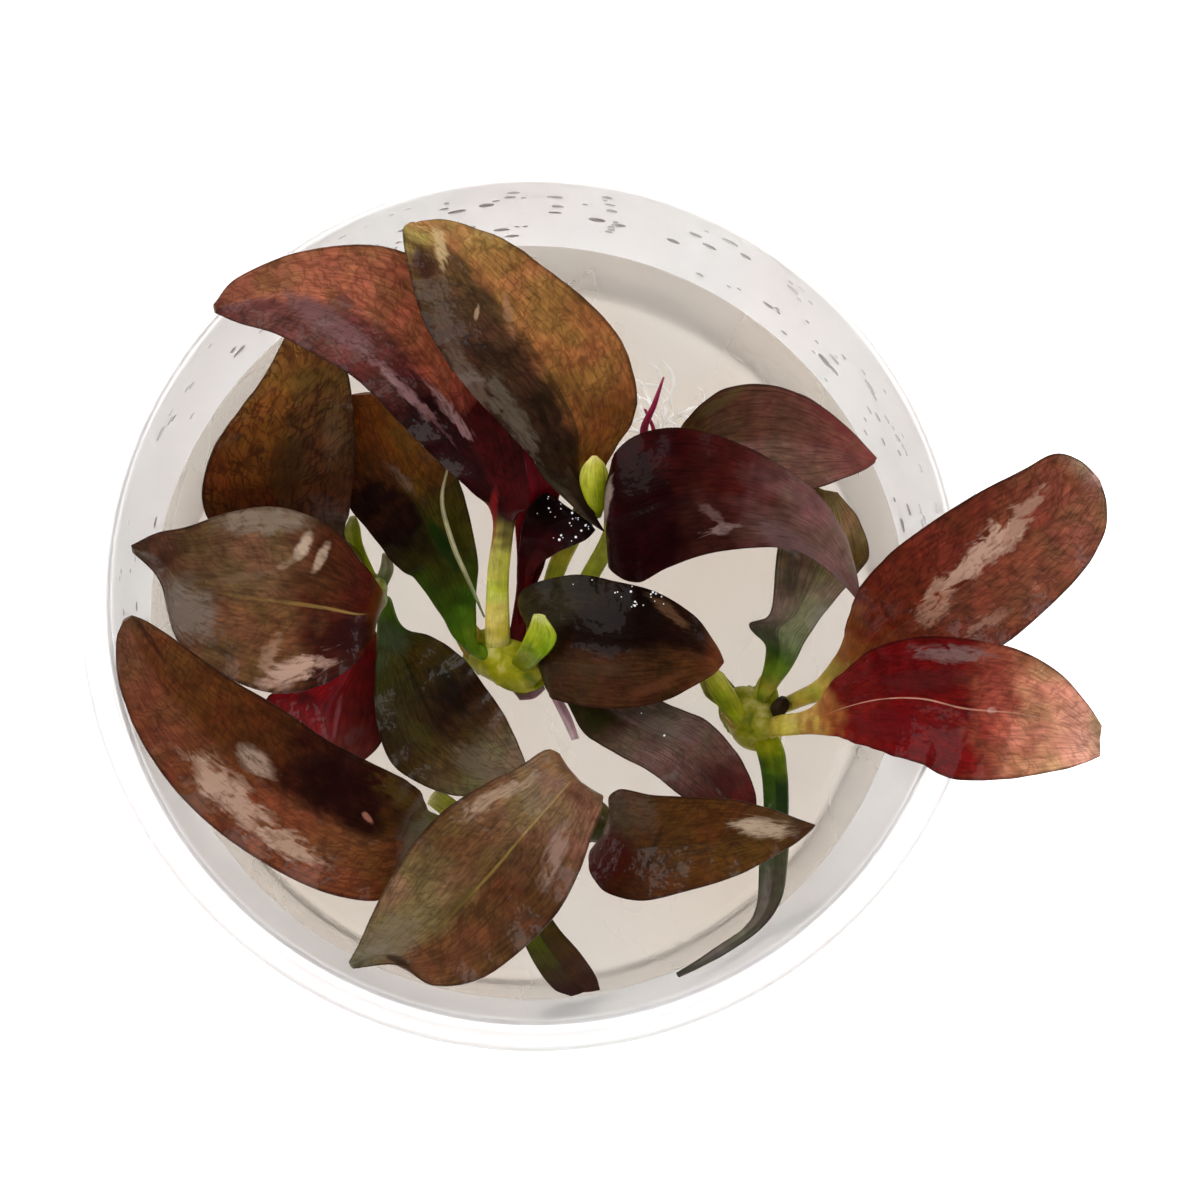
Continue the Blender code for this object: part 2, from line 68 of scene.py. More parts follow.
# Each leaf: stalk thickness, then its rows from stalk to tip. A row holds one edge
# (x, y, z), the other edge (x, y, z), and how deep the midrib lies below the line between
# them.
LEAVES = {
    "upper_left_leaf": (1.8, (
        (-5.3, -5.0, 29.6, -2.7, -5.0, 29.6, 0.3),
        (-5.1, 2.0, 35.0, -2.9, 2.0, 35.0, 0.4),
        (-4.5, 8.6, 41.2, -2.1, 8.6, 41.2, 0.5),
        (-7.0, 11.6, 43.9, -0.6, 10.6, 42.9, 0.7),
        (-11.7, 16.0, 46.0, -2.0, 19.5, 45.0, 1.0),
        (-15.6, 20.0, 47.0, -4.0, 27.0, 46.0, 1.0),
        (-19.6, 24.0, 48.5, -8.5, 34.3, 46.8, 1.0),
        (-24.0, 26.6, 50.0, -16.0, 38.7, 49.4, 1.0),
        (-28.5, 29.0, 51.5, -25.0, 38.4, 52.8, 0.9),
        (-32.6, 30.2, 53.2, -32.6, 35.4, 53.9, 0.4),
        (-35.2, 31.3, 54.1, -35.4, 32.3, 54.2, 0.0),
    )),
    "top_leaf": (1.6, (
        (-0.3, -2.8, 29.6, 1.3, -3.3, 29.6, 0.3),
        (1.7, 3.8, 32.5, 3.5, 3.2, 32.5, 0.3),
        (3.9, 8.5, 35.8, 5.9, 8.0, 35.8, 0.4),
        (4.5, 11.1, 41.3, 7.0, 11.8, 41.0, 0.6),
        (1.6, 13.4, 43.8, 8.4, 15.8, 43.0, 1.0),
        (-1.4, 16.6, 46.2, 11.0, 19.8, 45.0, 1.6),
        (-6.5, 22.0, 49.5, 10.9, 25.0, 47.5, 1.8),
        (-10.3, 26.9, 51.5, 8.4, 30.2, 49.5, 1.8),
        (-12.8, 32.0, 52.0, 3.0, 35.2, 51.0, 1.6),
        (-14.2, 37.5, 51.5, -3.6, 39.8, 51.0, 1.2),
        (-14.6, 40.7, 50.5, -9.3, 41.8, 50.2, 0.6),
        (-14.0, 41.5, 50.0, -12.6, 41.8, 50.0, 0.0),
    )),
    "left_upright_leaf": (1.5, (
        (-20.6, 3.0, 29.2, -18.8, 4.2, 29.2, 0.3),
        (-28.0, 5.0, 32.0, -20.8, 6.5, 32.0, 0.8),
        (-34.2, 6.5, 34.5, -20.4, 9.0, 36.0, 1.2),
        (-36.5, 10.7, 37.5, -19.9, 13.5, 39.0, 1.4),
        (-35.2, 16.5, 40.5, -19.8, 18.0, 41.0, 1.4),
        (-32.2, 20.8, 43.5, -20.2, 22.5, 43.5, 1.2),
        (-29.5, 24.8, 45.5, -21.0, 26.0, 45.0, 1.0),
        (-27.3, 29.0, 46.5, -23.0, 29.5, 46.0, 0.5),
        (-25.6, 31.5, 47.0, -24.6, 31.7, 47.0, 0.0),
    )),
    "inner_left_leaf": (1.7, (
        (-8.2, -5.0, 29.6, -6.0, -6.6, 29.6, 0.4),
        (-10.0, -2.4, 31.0, -6.5, -0.9, 31.5, 0.8),
        (-12.6, 1.3, 33.0, -6.2, 3.4, 34.0, 1.0),
        (-15.0, 3.2, 34.5, -7.0, 8.0, 37.0, 1.2),
        (-17.6, 6.3, 35.0, -8.3, 12.8, 39.0, 1.2),
        (-20.6, 10.5, 35.5, -9.6, 14.9, 40.0, 1.2),
        (-22.0, 15.5, 36.5, -12.2, 17.6, 40.5, 1.0),
        (-21.6, 20.0, 38.0, -14.9, 20.7, 40.5, 0.6),
        (-20.2, 22.3, 39.5, -17.2, 22.5, 40.5, 0.0),
    )),
    "left_broad_leaf": (1.6, (
        (-18.0, 0.6, 29.2, -16.3, 1.2, 29.2, 0.3),
        (-17.7, -2.2, 36.0, -16.2, -0.6, 36.0, 0.4),
        (-17.8, -4.5, 40.5, -16.9, 0.8, 40.5, 0.5),
        (-19.5, -7.3, 42.5, -18.6, 3.3, 43.0, 0.8),
        (-23.5, -9.9, 43.5, -22.0, 7.3, 44.5, 1.4),
        (-28.5, -10.7, 44.0, -27.5, 9.7, 45.0, 1.6),
        (-34.0, -8.8, 44.5, -33.0, 9.3, 45.5, 1.4),
        (-39.0, -5.0, 45.0, -38.0, 7.6, 46.0, 0.9),
        (-41.0, 1.5, 46.0, -41.3, 6.9, 46.5, 0.4),
        (-43.8, 4.6, 47.0, -44.2, 5.5, 47.0, 0.0),
    )),
    "lower_left_leaf": (1.5, (
        (-8.3, -27.0, 29.2, -7.9, -25.4, 29.2, 0.3),
        (-10.6, -26.4, 32.0, -10.0, -24.3, 32.0, 0.5),
        (-13.0, -28.4, 35.5, -11.8, -23.2, 35.5, 0.8),
        (-16.0, -33.0, 39.0, -12.9, -20.9, 39.0, 1.2),
        (-22.0, -32.7, 42.0, -17.0, -18.7, 42.0, 1.6),
        (-29.0, -29.5, 45.0, -22.5, -15.9, 45.0, 1.8),
        (-36.0, -24.5, 47.5, -28.0, -12.2, 47.5, 1.8),
        (-41.5, -18.2, 50.0, -33.5, -9.0, 50.0, 1.6),
        (-45.0, -11.0, 53.2, -38.3, -5.6, 52.0, 1.2),
        (-45.7, -5.5, 53.8, -42.0, -3.1, 53.2, 0.6),
        (-45.0, -2.9, 54.0, -44.0, -2.2, 53.8, 0.0),
    )),
    "front_leaf": (1.6, (
        (6.8, -24.0, 29.2, 5.0, -23.2, 29.2, 0.3),
        (6.7, -22.2, 36.0, 4.4, -20.6, 36.0, 0.4),
        (7.7, -22.4, 41.5, 1.8, -16.9, 41.5, 0.8),
        (6.4, -26.0, 44.5, -2.5, -19.2, 44.5, 1.4),
        (5.0, -30.0, 46.5, -7.0, -21.5, 46.0, 1.7),
        (2.5, -34.7, 47.5, -10.8, -24.4, 47.0, 1.8),
        (-1.5, -38.8, 48.0, -13.8, -28.0, 47.5, 1.7),
        (-6.0, -41.9, 48.3, -16.0, -31.6, 48.0, 1.5),
        (-11.0, -42.5, 48.5, -17.6, -34.8, 48.5, 1.2),
        (-14.8, -40.3, 49.0, -19.0, -38.0, 49.0, 0.7),
        (-19.6, -40.7, 49.5, -20.1, -40.0, 49.5, 0.0),
    )),
    "small_front_leaf": (1.3, (
        (-4.2, -28.2, 29.2, -6.0, -28.9, 29.2, 0.3),
        (-0.5, -31.0, 30.0, -3.2, -32.0, 30.0, 0.5),
        (1.0, -33.9, 30.3, -2.0, -35.0, 30.3, 0.7),
        (2.8, -36.5, 30.3, -0.9, -38.2, 30.3, 0.7),
        (5.0, -39.0, 29.5, 0.6, -41.0, 29.5, 0.7),
        (6.7, -41.5, 28.0, 2.2, -42.9, 28.0, 0.6),
        (7.2, -43.0, 27.0, 4.0, -43.7, 27.0, 0.2),
    )),
    "olive_leaf": (1.4, (
        (-15.9, -0.2, 28.6, -17.2, -1.4, 28.6, 0.3),
        (-14.5, -3.3, 30.5, -17.2, -4.9, 30.5, 0.6),
        (-11.0, -4.6, 32.0, -17.5, -9.3, 32.0, 1.0),
        (-8.0, -6.6, 32.8, -17.2, -14.0, 32.8, 1.3),
        (-5.8, -9.4, 33.0, -15.6, -18.3, 33.2, 1.4),
        (-3.8, -12.2, 33.0, -12.4, -20.6, 33.2, 1.3),
        (-2.2, -15.2, 33.0, -8.3, -21.9, 33.0, 1.0),
        (-1.0, -18.2, 32.8, -3.8, -21.2, 32.5, 0.6),
        (-0.9, -20.0, 32.5, -1.8, -20.6, 32.5, 0.0),
    )),
    "young_crimson_leaf": (1.1, (
        (-18.0, -2.8, 26.6, -19.8, -2.8, 26.6, 0.2),
        (-16.7, -5.2, 27.6, -21.3, -5.2, 28.0, 0.5),
        (-15.6, -9.0, 28.6, -26.0, -9.2, 29.5, 1.0),
        (-15.6, -13.0, 29.2, -29.3, -11.5, 30.5, 1.2),
        (-17.0, -16.5, 29.8, -27.5, -14.8, 31.0, 0.9),
        (-19.3, -18.5, 30.3, -24.6, -17.6, 31.0, 0.4),
        (-21.4, -19.6, 30.6, -22.5, -19.4, 30.8, 0.0),
    )),
    "centre_leaf": (1.5, (
        (0.7, -5.7, 29.6, 0.4, -7.7, 29.6, 0.3),
        (-1.6, 0.3, 34.0, 1.4, -10.6, 32.6, 0.3),
        (4.0, 2.4, 37.0, 4.0, -11.8, 36.0, -0.6),
        (9.0, 1.7, 39.5, 9.0, -12.3, 38.5, -0.9),
        (13.5, 0.5, 40.5, 14.0, -11.5, 39.5, -0.9),
        (17.5, -2.0, 40.5, 17.3, -9.9, 39.8, -0.6),
        (19.8, -5.0, 39.8, 19.5, -8.6, 39.4, -0.2),
        (20.8, -6.9, 39.0, 20.6, -7.5, 39.0, 0.0),
    )),
    "short_dark_leaf": (1.1, (
        (-2.2, -3.6, 29.4, -1.2, -4.1, 29.4, 0.2),
        (-1.9, 0.6, 32.0, -0.6, 0.2, 32.0, 0.3),
        (-1.8, 4.2, 35.2, 0.4, 3.4, 35.2, 0.6),
        (-1.0, 9.0, 38.8, 3.2, 5.2, 38.4, 0.8),
        (1.1, 11.4, 40.2, 5.0, 6.0, 39.2, 0.6),
        (3.3, 10.1, 40.2, 6.0, 6.6, 39.6, 0.4),
        (6.0, 8.3, 39.9, 6.7, 7.4, 39.8, 0.0),
    )),
    "lower_centre_leaf": (1.2, (
        (1.8, -7.7, 26.4, 0.7, -9.4, 26.4, 0.2),
        (6.0, -8.0, 29.6, 3.4, -11.4, 29.6, 0.5),
        (11.0, -10.0, 32.0, 5.3, -14.8, 32.0, 0.8),
        (15.5, -12.1, 33.5, 8.5, -17.0, 33.5, 1.0),
        (19.3, -13.9, 34.0, 12.5, -19.1, 34.0, 1.0),
        (22.3, -17.3, 34.0, 16.0, -21.8, 34.0, 0.9),
        (24.1, -21.0, 33.5, 19.6, -24.0, 33.5, 0.5),
        (24.4, -23.6, 33.0, 23.2, -24.3, 33.0, 0.0),
    )),
    "centre_right_leaf": (1.6, (
        (1.9, -4.5, 28.9, 3.2, -5.4, 28.9, 0.3),
        (4.6, 1.4, 32.6, 6.2, 0.6, 32.6, 0.3),
        (7.6, 7.4, 38.0, 9.0, 5.6, 38.0, 0.4),
        (8.0, 13.6, 44.5, 8.6, 2.8, 42.5, -0.3),
        (10.3, 17.4, 47.0, 11.4, 1.6, 44.0, -1.2),
        (15.0, 18.8, 48.0, 14.5, 3.2, 45.5, -1.6),
        (20.0, 18.0, 48.0, 19.0, 4.8, 46.5, -1.6),
        (25.5, 15.6, 47.5, 24.0, 5.5, 47.0, -1.4),
        (30.5, 12.2, 46.5, 28.5, 5.3, 46.5, -1.1),
        (33.8, 7.8, 45.0, 31.8, 3.4, 45.5, -0.8),
        (35.2, 3.5, 43.5, 34.0, 1.4, 44.0, -0.4),
        (35.9, 0.2, 42.5, 35.5, -0.2, 42.5, 0.0),
    )),
    "upper_right_leaf": (1.4, (
        (13.9, 15.9, 29.2, 15.0, 14.3, 29.2, 0.3),
        (15.5, 17.6, 34.0, 16.8, 14.0, 34.0, 0.5),
        (17.3, 20.3, 38.0, 19.0, 12.2, 37.5, 0.9),
        (20.5, 23.0, 40.0, 22.5, 11.5, 39.5, 1.2),
        (25.5, 23.7, 41.0, 26.5, 11.6, 40.5, 1.2),
        (30.0, 22.3, 41.2, 30.5, 12.0, 40.8, 1.1),
        (34.0, 19.5, 41.0, 34.0, 13.2, 40.6, 0.7),
        (36.7, 16.7, 40.6, 36.4, 14.2, 40.4, 0.3),
        (37.8, 15.6, 40.2, 37.6, 15.0, 40.2, 0.0),
    )),
    "right_upright_leaf": (1.5, (
        (24.7, -10.0, 30.6, 26.3, -10.4, 30.6, 0.3),
        (25.4, -5.6, 33.6, 28.4, -7.4, 33.6, 0.5),
        (23.6, -3.0, 36.0, 29.7, -5.0, 36.0, 1.0),
        (25.9, -1.9, 37.2, 31.6, -2.0, 37.2, 1.1),
        (26.5, 3.0, 38.2, 35.5, 2.6, 38.0, 1.1),
        (27.0, 6.5, 38.0, 36.9, 5.0, 37.8, 1.1),
        (28.5, 10.0, 37.5, 35.8, 8.6, 37.3, 0.8),
        (30.3, 12.5, 37.0, 33.4, 11.7, 36.8, 0.3),
    )),
    "outer_upper_leaf": (1.6, (
        (27.6, -11.0, 29.4, 28.0, -12.4, 29.4, 0.3),
        (31.0, -9.1, 36.0, 32.0, -11.2, 35.5, 0.4),
        (33.7, -5.2, 42.5, 37.0, -10.4, 41.0, 0.7),
        (35.2, 0.0, 48.0, 42.0, -9.0, 47.0, 1.2),
        (38.5, 4.3, 52.5, 47.0, -7.3, 53.4, 1.4),
        (43.5, 8.2, 56.0, 52.0, -4.9, 55.0, 1.5),
        (49.0, 11.7, 58.0, 56.6, -1.0, 56.5, 1.5),
        (54.0, 14.3, 59.0, 60.5, 3.0, 57.5, 1.4),
        (57.5, 16.1, 59.5, 63.0, 7.4, 58.0, 1.1),
        (60.2, 15.4, 59.5, 63.2, 10.5, 58.5, 0.6),
        (61.8, 13.8, 59.3, 62.6, 12.4, 59.0, 0.0),
    )),
    "outer_lower_leaf": (1.7, (
        (26.2, -13.1, 29.2, 26.0, -15.2, 29.2, 0.3),
        (30.3, -12.2, 38.5, 30.3, -15.0, 38.5, 0.4),
        (33.0, -9.0, 46.0, 33.7, -15.5, 45.0, 0.8),
        (37.0, -5.8, 52.0, 37.5, -16.8, 50.0, 1.3),
        (42.0, -4.3, 56.5, 42.0, -18.2, 54.0, 1.5),
        (47.5, -4.5, 59.0, 46.3, -20.0, 56.5, 1.6),
        (53.0, -5.6, 60.5, 52.0, -19.9, 58.0, 1.6),
        (57.5, -8.0, 60.5, 56.5, -19.2, 58.5, 1.4),
        (60.5, -11.2, 60.0, 60.0, -18.3, 58.5, 0.9),
        (62.4, -14.0, 59.0, 62.2, -17.4, 58.5, 0.2),
    )),
    "narrow_trailing_leaf": (1.5, (
        (27.2, -16.2, 28.6, 24.2, -16.2, 28.6, 0.4),
        (27.7, -19.5, 30.5, 25.0, -19.5, 30.5, 0.5),
        (27.8, -24.0, 32.0, 25.2, -24.0, 32.0, 0.5),
        (27.7, -28.5, 32.5, 24.7, -29.0, 32.5, 0.6),
        (27.0, -33.0, 33.5, 24.4, -33.5, 33.5, 0.5),
        (24.8, -36.2, 35.0, 23.2, -36.0, 35.0, 0.3),
        (21.1, -38.9, 37.0, 20.3, -38.1, 37.0, 0.2),
        (18.2, -40.5, 38.5, 17.8, -39.8, 38.5, 0.1),
        (15.9, -41.6, 39.5, 15.6, -41.1, 39.5, 0.0),
    )),
    "front_right_leaf": (1.5, (
        (8.7, -24.3, 29.2, 8.0, -26.0, 29.2, 0.3),
        (8.2, -23.2, 34.0, 6.0, -28.8, 34.0, 0.8),
        (9.2, -21.2, 37.5, 7.0, -31.8, 37.0, 1.6),
        (13.0, -21.8, 39.5, 11.3, -33.3, 39.0, 1.6),
        (17.5, -22.0, 40.5, 16.5, -32.3, 40.0, 1.4),
        (22.0, -22.3, 41.0, 21.5, -30.8, 40.5, 1.2),
        (26.0, -23.3, 40.5, 25.5, -28.9, 40.2, 0.9),
        (29.0, -24.4, 39.6, 28.6, -27.0, 39.4, 0.4),
        (30.8, -25.0, 39.0, 30.6, -25.4, 39.0, 0.0),
    )),
    "bud": (1.6, (
        (-2.6, -7.4, 28.0, -1.2, -8.4, 28.0, 0.3),
        (-1.5, -5.6, 36.6, 0.7, -7.0, 36.4, 0.6),
        (-0.6, -3.4, 38.6, 2.4, -4.6, 38.4, 0.4),
        (-0.1, -2.0, 39.4, 1.2, -2.2, 39.4, 0.1),
    )),
    "old_stalk": (2.0, (
        (19.2, -11.2, 26.6, 21.4, -9.2, 26.6, 0.2),
        (18.5, -10.2, 27.6, 20.8, -8.5, 27.6, 0.2),
        (18.1, -9.2, 28.6, 19.9, -7.8, 28.6, 0.2),
    )),
}


def shade(red, green, blue):
    """A colour given as it looks on a screen, 0 to 255, as light."""
    return tuple((part / 255) ** 2.2 for part in (red, green, blue))


# Where each leaf's colours lie. near and far are the colours along its two halves, from stalk
# to tip, each with its place from 0 to 1; the greyer of the two halves carries painted sheen.
# A patch is x, y, length, width, turn, colour, share and raggedness. The pale patches are
# painted sheen and highlights; the rest are the leaves' own marks, and one painted shadow.
LOOKS = {
    "upper_left_leaf": dict(
        slot='copper_leaf', blade_from=0.24, net=0.5, long=0.3, fold=0.42, rib=((70, 26, 18), 0.4, 0.02),
        near=((0, (214, 200, 110)), (0.06, (196, 188, 70)), (0.14, (186, 176, 84)),
            (0.19, (112, 100, 44)), (0.235, (44, 6, 8)), (0.31, (44, 4, 6)),
            (0.48, (44, 6, 8)), (0.58, (96, 46, 42)), (0.85, (106, 64, 60)), (1, (90, 50, 44)),),
        far=((0, (214, 200, 110)), (0.06, (190, 182, 60)), (0.14, (170, 158, 70)),
            (0.19, (92, 80, 34)), (0.235, (54, 5, 10)), (0.31, (62, 5, 10)),
            (0.42, (60, 8, 8)), (0.52, (142, 68, 50)), (0.8, (162, 100, 74)),
            (1, (106, 62, 46)),),
        patches=(
            # A painted shadow: the dark grey spot on the orange half.
            (-21.2, 32.7, 2.9, 2.2, 60, (92, 56, 50), 0.8, 0.5),
            (-14.8, 23.5, 9.3, 1.4, -42, (138, 100, 100), 0.85, 0.6),
            (-9.5, 21.3, 7.7, 1.4, -50, (144, 108, 106), 0.85, 0.6),
            (-11.4, 20.3, 6.6, 0.7, -48, (110, 70, 70), 0.5, 0.7),
            (-8.0, 19.2, 3.3, 0.7, -52, (150, 106, 104), 0.5, 0.7),
            (-4.7, 9.0, 7.7, 1.1, 84, (120, 22, 20), 0.8, 0.3),
            (-22.7, 30.3, 12.2, 3.3, -30, (118, 84, 84), 0.7, 0.3),
        ),
    ),
    "top_leaf": dict(
        blade_from=0.26, net=0.5, long=0.3, rib=((48, 34, 14), 0.7, 0.03),
        near=((0, (170, 168, 40)), (0.17, (166, 158, 50)), (0.24, (96, 84, 30)),
            (0.28, (46, 32, 16)), (0.45, (48, 30, 18)), (0.6, (64, 42, 28)),
            (0.74, (78, 52, 32)), (0.84, (104, 76, 42)), (0.92, (170, 140, 84)),
            (1, (146, 112, 66)),),
        far=((0, (170, 168, 40)), (0.22, (170, 162, 60)), (0.3, (150, 132, 46)),
            (0.36, (96, 60, 18)), (0.45, (104, 62, 26)), (0.6, (142, 92, 52)),
            (0.78, (146, 98, 58)), (0.92, (166, 128, 78)), (1, (150, 116, 70)),),
        patches=(
            (-12.4, 36.6, 4.4, 2.7, -62, (58, 26, 10), 0.85, 0.3),
            (-10.6, 39.0, 5.5, 1.5, -78, (190, 162, 116), 0.85, 0.5),
            (-6.5, 31.5, 1.8, 0.6, 80, (170, 140, 110), 0.7, 0.3),
            (-3.1, 31.7, 5.1, 1.1, -80, (160, 118, 92), 0.45, 0.6),
            (-5.2, 26.9, 5.1, 2.7, -20, (34, 22, 12), 0.7, 0.5),
            (-7.5, 24.3, 9.3, 3.3, -55, (96, 78, 66), 0.75, 0.5),
            (-2.6, 20.7, 11.0, 2.9, -58, (92, 80, 68), 0.8, 0.6),
            (1.1, 20.2, 5.5, 1.1, -62, (34, 22, 10), 0.6, 0.7),
            (-10.4, 32.6, 6.6, 3.3, -70, (88, 66, 52), 0.4, 0.5),
        ),
    ),
    "left_upright_leaf": dict(
        blade_from=0.06, net=0.8, long=0.25, rib=((60, 44, 12), 0.4, 0.02),
        near=((0, (90, 90, 20)), (0.12, (62, 30, 8)), (0.3, (64, 24, 6)), (0.5, (108, 62, 24)),
            (0.7, (134, 86, 38)), (0.85, (146, 104, 52)), (1, (136, 96, 46)),),
        far=((0, (90, 90, 20)), (0.15, (60, 34, 12)), (0.35, (62, 34, 16)),
            (0.6, (86, 56, 28)), (0.8, (122, 82, 34)), (1, (122, 84, 38)),),
        patches=(
            (-27.9, 15.6, 4.4, 6.6, 0, (52, 32, 10), 0.6, 0.5),
            (-22.5, 19.7, 7.7, 2.4, 85, (92, 68, 48), 0.45, 0.5),
            (-26.3, 24.4, 4.4, 2.9, 70, (110, 84, 34), 0.5, 0.5),
            (-23.8, 11.7, 5.5, 2.2, -20, (70, 48, 40), 0.5, 0.7),
        ),
    ),
    "inner_left_leaf": dict(
        slot='olive_leaf_skin', wet=0.12, shine=0.08, blade_from=0.3, net=0.45, long=0.3, rib=((60, 50, 14), 0.4, 0.02),
        near=((0, (70, 96, 10)), (0.14, (52, 74, 8)), (0.3, (48, 46, 8)), (0.45, (32, 16, 6)),
            (0.6, (44, 22, 6)), (0.78, (108, 58, 20)), (1, (122, 68, 28)),),
        far=((0, (90, 116, 20)), (0.14, (52, 76, 8)), (0.3, (52, 54, 8)), (0.5, (62, 46, 12)),
            (0.7, (88, 52, 14)), (0.85, (116, 66, 24)), (1, (122, 70, 30)),),
        patches=(
            (-17.8, 12.7, 4.9, 5.1, -40, (26, 9, 4), 0.85, 0.5),
            (-14.7, 14.6, 5.5, 1.1, -45, (104, 82, 70), 0.5, 0.6),
            (-10.4, 7.9, 7.3, 1.8, -55, (22, 44, 2), 0.9, 0.4),
            (-14.6, 18.7, 4.4, 1.8, -40, (84, 60, 20), 0.4, 0.6),
        ),
    ),
    "left_broad_leaf": dict(
        blade_from=0.24, net=0.4, long=0.25, rib=((158, 128, 70), 0.6, 0.018), rib_to=0.75,
        near=((0, (130, 140, 40)), (0.2, (84, 44, 10)), (0.3, (54, 12, 2)),
            (0.45, (62, 22, 6)), (0.55, (104, 68, 42)), (0.75, (94, 66, 44)),
            (0.9, (86, 68, 56)), (1, (76, 58, 46)),),
        far=((0, (130, 140, 40)), (0.2, (84, 48, 10)), (0.3, (66, 18, 2)),
            (0.45, (76, 38, 18)), (0.6, (104, 76, 54)), (0.8, (86, 58, 40)), (1, (70, 46, 34)),),
        patches=(
            (-20.5, -4.0, 5.1, 3.8, 10, (46, 8, 8), 0.85, 0.4),
            (-25.7, 6.1, 3.5, 1.5, 62, (190, 166, 142), 0.8, 0.35),
            (-23.7, 4.9, 3.8, 1.1, 62, (180, 154, 130), 0.75, 0.35),
            (-27.6, 4.1, 3.3, 0.9, 30, (150, 124, 100), 0.5, 0.6),
            (-26.9, -7.8, 8.0, 2.9, 18, (180, 144, 126), 0.9, 0.6),
            (-29.3, -6.1, 5.5, 1.8, 65, (150, 116, 96), 0.7, 0.6),
            (-38.5, -1.3, 8.4, 6.2, -40, (118, 104, 94), 0.8, 0.3),
            (-30.2, 8.9, 11.0, 3.3, 3, (132, 114, 98), 0.8, 0.3),
            (-32.7, 2.5, 7.7, 1.1, 12, (120, 96, 74), 0.4, 0.6),
            (-41.6, 4.3, 6.6, 1.5, 20, (60, 34, 22), 0.5, 0.4),
        ),
    ),
    "lower_left_leaf": dict(
        blade_from=0.14, net=0.45, long=0.25, rib=((56, 30, 10), 0.3, 0.02),
        near=((0, (120, 130, 30)), (0.12, (74, 72, 34)), (0.22, (90, 54, 24)),
            (0.45, (112, 62, 36)), (0.6, (106, 56, 32)), (0.8, (106, 62, 42)),
            (1, (100, 66, 50)),),
        far=((0, (120, 130, 30)), (0.12, (80, 80, 26)), (0.22, (70, 46, 10)),
            (0.38, (44, 14, 8)), (0.5, (54, 22, 6)), (0.65, (88, 46, 16)),
            (0.85, (92, 54, 28)), (1, (100, 66, 48)),),
        patches=(
            (-22.9, -20.0, 8.4, 6.0, -40, (34, 8, 7), 0.85, 0.5),
            (-33.5, -21.7, 11.5, 4.0, -40, (172, 138, 118), 0.95, 0.5),
            (-30.7, -18.2, 4.9, 2.7, -42, (156, 130, 112), 0.9, 0.3),
            (-27.3, -27.2, 8.4, 3.1, -28, (174, 140, 118), 0.9, 0.6),
            (-42.1, -5.2, 5.5, 0.7, -55, (50, 26, 18), 0.8, 0.3),
            (-13.0, -25.7, 6.6, 2.2, 62, (104, 94, 76), 0.6, 0.4),
            (-15.5, -20.7, 7.7, 2.7, -38, (84, 62, 16), 0.6, 0.6),
            (-18.4, -24.0, 1.8, 0.7, -50, (170, 110, 90), 0.7, 0.4),
        ),
    ),
    "front_leaf": dict(
        blade_from=0.14, net=0.4, long=0.35, rib=((150, 124, 62), 0.6, 0.016), rib_to=0.8,
        near=((0, (130, 130, 40)), (0.14, (106, 74, 48)), (0.3, (112, 80, 62)),
            (0.5, (78, 46, 22)), (0.75, (94, 60, 36)), (0.9, (88, 70, 50)), (1, (80, 70, 56)),),
        far=((0, (130, 130, 40)), (0.14, (112, 80, 52)), (0.3, (116, 88, 62)),
            (0.5, (92, 64, 38)), (0.7, (116, 92, 66)), (0.88, (112, 94, 72)),
            (1, (84, 76, 62)),),
        patches=(
            (-4.3, -21.8, 8.8, 1.8, 30, (168, 140, 116), 0.8, 0.7),
            (-6.3, -23.7, 5.5, 0.9, 34, (150, 122, 98), 0.5, 0.8),
            (2.4, -28.1, 7.3, 2.2, 72, (150, 122, 108), 0.6, 0.6),
            (-15.7, -37.6, 8.2, 4.4, 42, (112, 98, 78), 0.7, 0.4),
            (-15.0, -40.0, 3.3, 0.9, -20, (40, 30, 20), 0.8, 0.5),
            (-8.7, -34.0, 6.6, 2.2, 45, (74, 58, 20), 0.5, 0.6),
            (1.9, -18.6, 3.8, 1.5, -30, (130, 90, 50), 0.5, 0.5),
            (5.2, -22.0, 3.3, 1.1, -40, (70, 40, 26), 0.6, 0.5),
        ),
    ),
    "small_front_leaf": dict(
        slot='olive_leaf_skin', blade_from=0.1, net=0.1, long=0.7, rib=((40, 26, 4), 0.8, 0.05),
        near=((0, (120, 130, 20)), (0.2, (78, 72, 10)), (0.5, (70, 48, 2)),
            (0.75, (70, 36, 6)), (1, (60, 28, 10)),),
        far=((0, (130, 140, 20)), (0.2, (92, 96, 14)), (0.5, (80, 80, 10)),
            (0.72, (66, 44, 14)), (0.85, (54, 26, 14)), (1, (50, 24, 14)),),
    ),
    "olive_leaf": dict(
        slot='olive_leaf_skin', blade_from=0.1, net=0.4, long=0.35, rib=((28, 18, 4), 0.5, 0.025),
        near=((0, (70, 100, 10)), (0.12, (44, 60, 12)), (0.25, (66, 52, 8)),
            (0.5, (42, 22, 0)), (0.62, (66, 46, 18)), (0.78, (112, 94, 74)),
            (1, (104, 88, 68)),),
        far=((0, (70, 100, 10)), (0.12, (56, 66, 40)), (0.25, (62, 58, 14)),
            (0.45, (52, 36, 2)), (0.62, (68, 52, 12)), (0.8, (106, 92, 68)), (1, (98, 84, 64)),),
        patches=(
            (-15.2, -3.1, 4.4, 2.2, -60, (70, 76, 56), 0.6, 0.5),
            (-9.2, -8.9, 6.6, 2.7, -50, (28, 16, 5), 0.8, 0.6),
            (-12.9, -13.9, 6.6, 2.7, -50, (74, 66, 20), 0.5, 0.6),
            (-5.8, -17.5, 7.7, 3.8, -30, (110, 96, 80), 0.5, 0.5),
            (-11.1, -4.3, 5.5, 2.7, -30, (60, 52, 12), 0.5, 0.6),
        ),
    ),
    "young_crimson_leaf": dict(
        slot='crimson_leaf', blade_from=0.08, net=0.2, long=0.2, rib=((120, 50, 60), 0.5, 0.03),
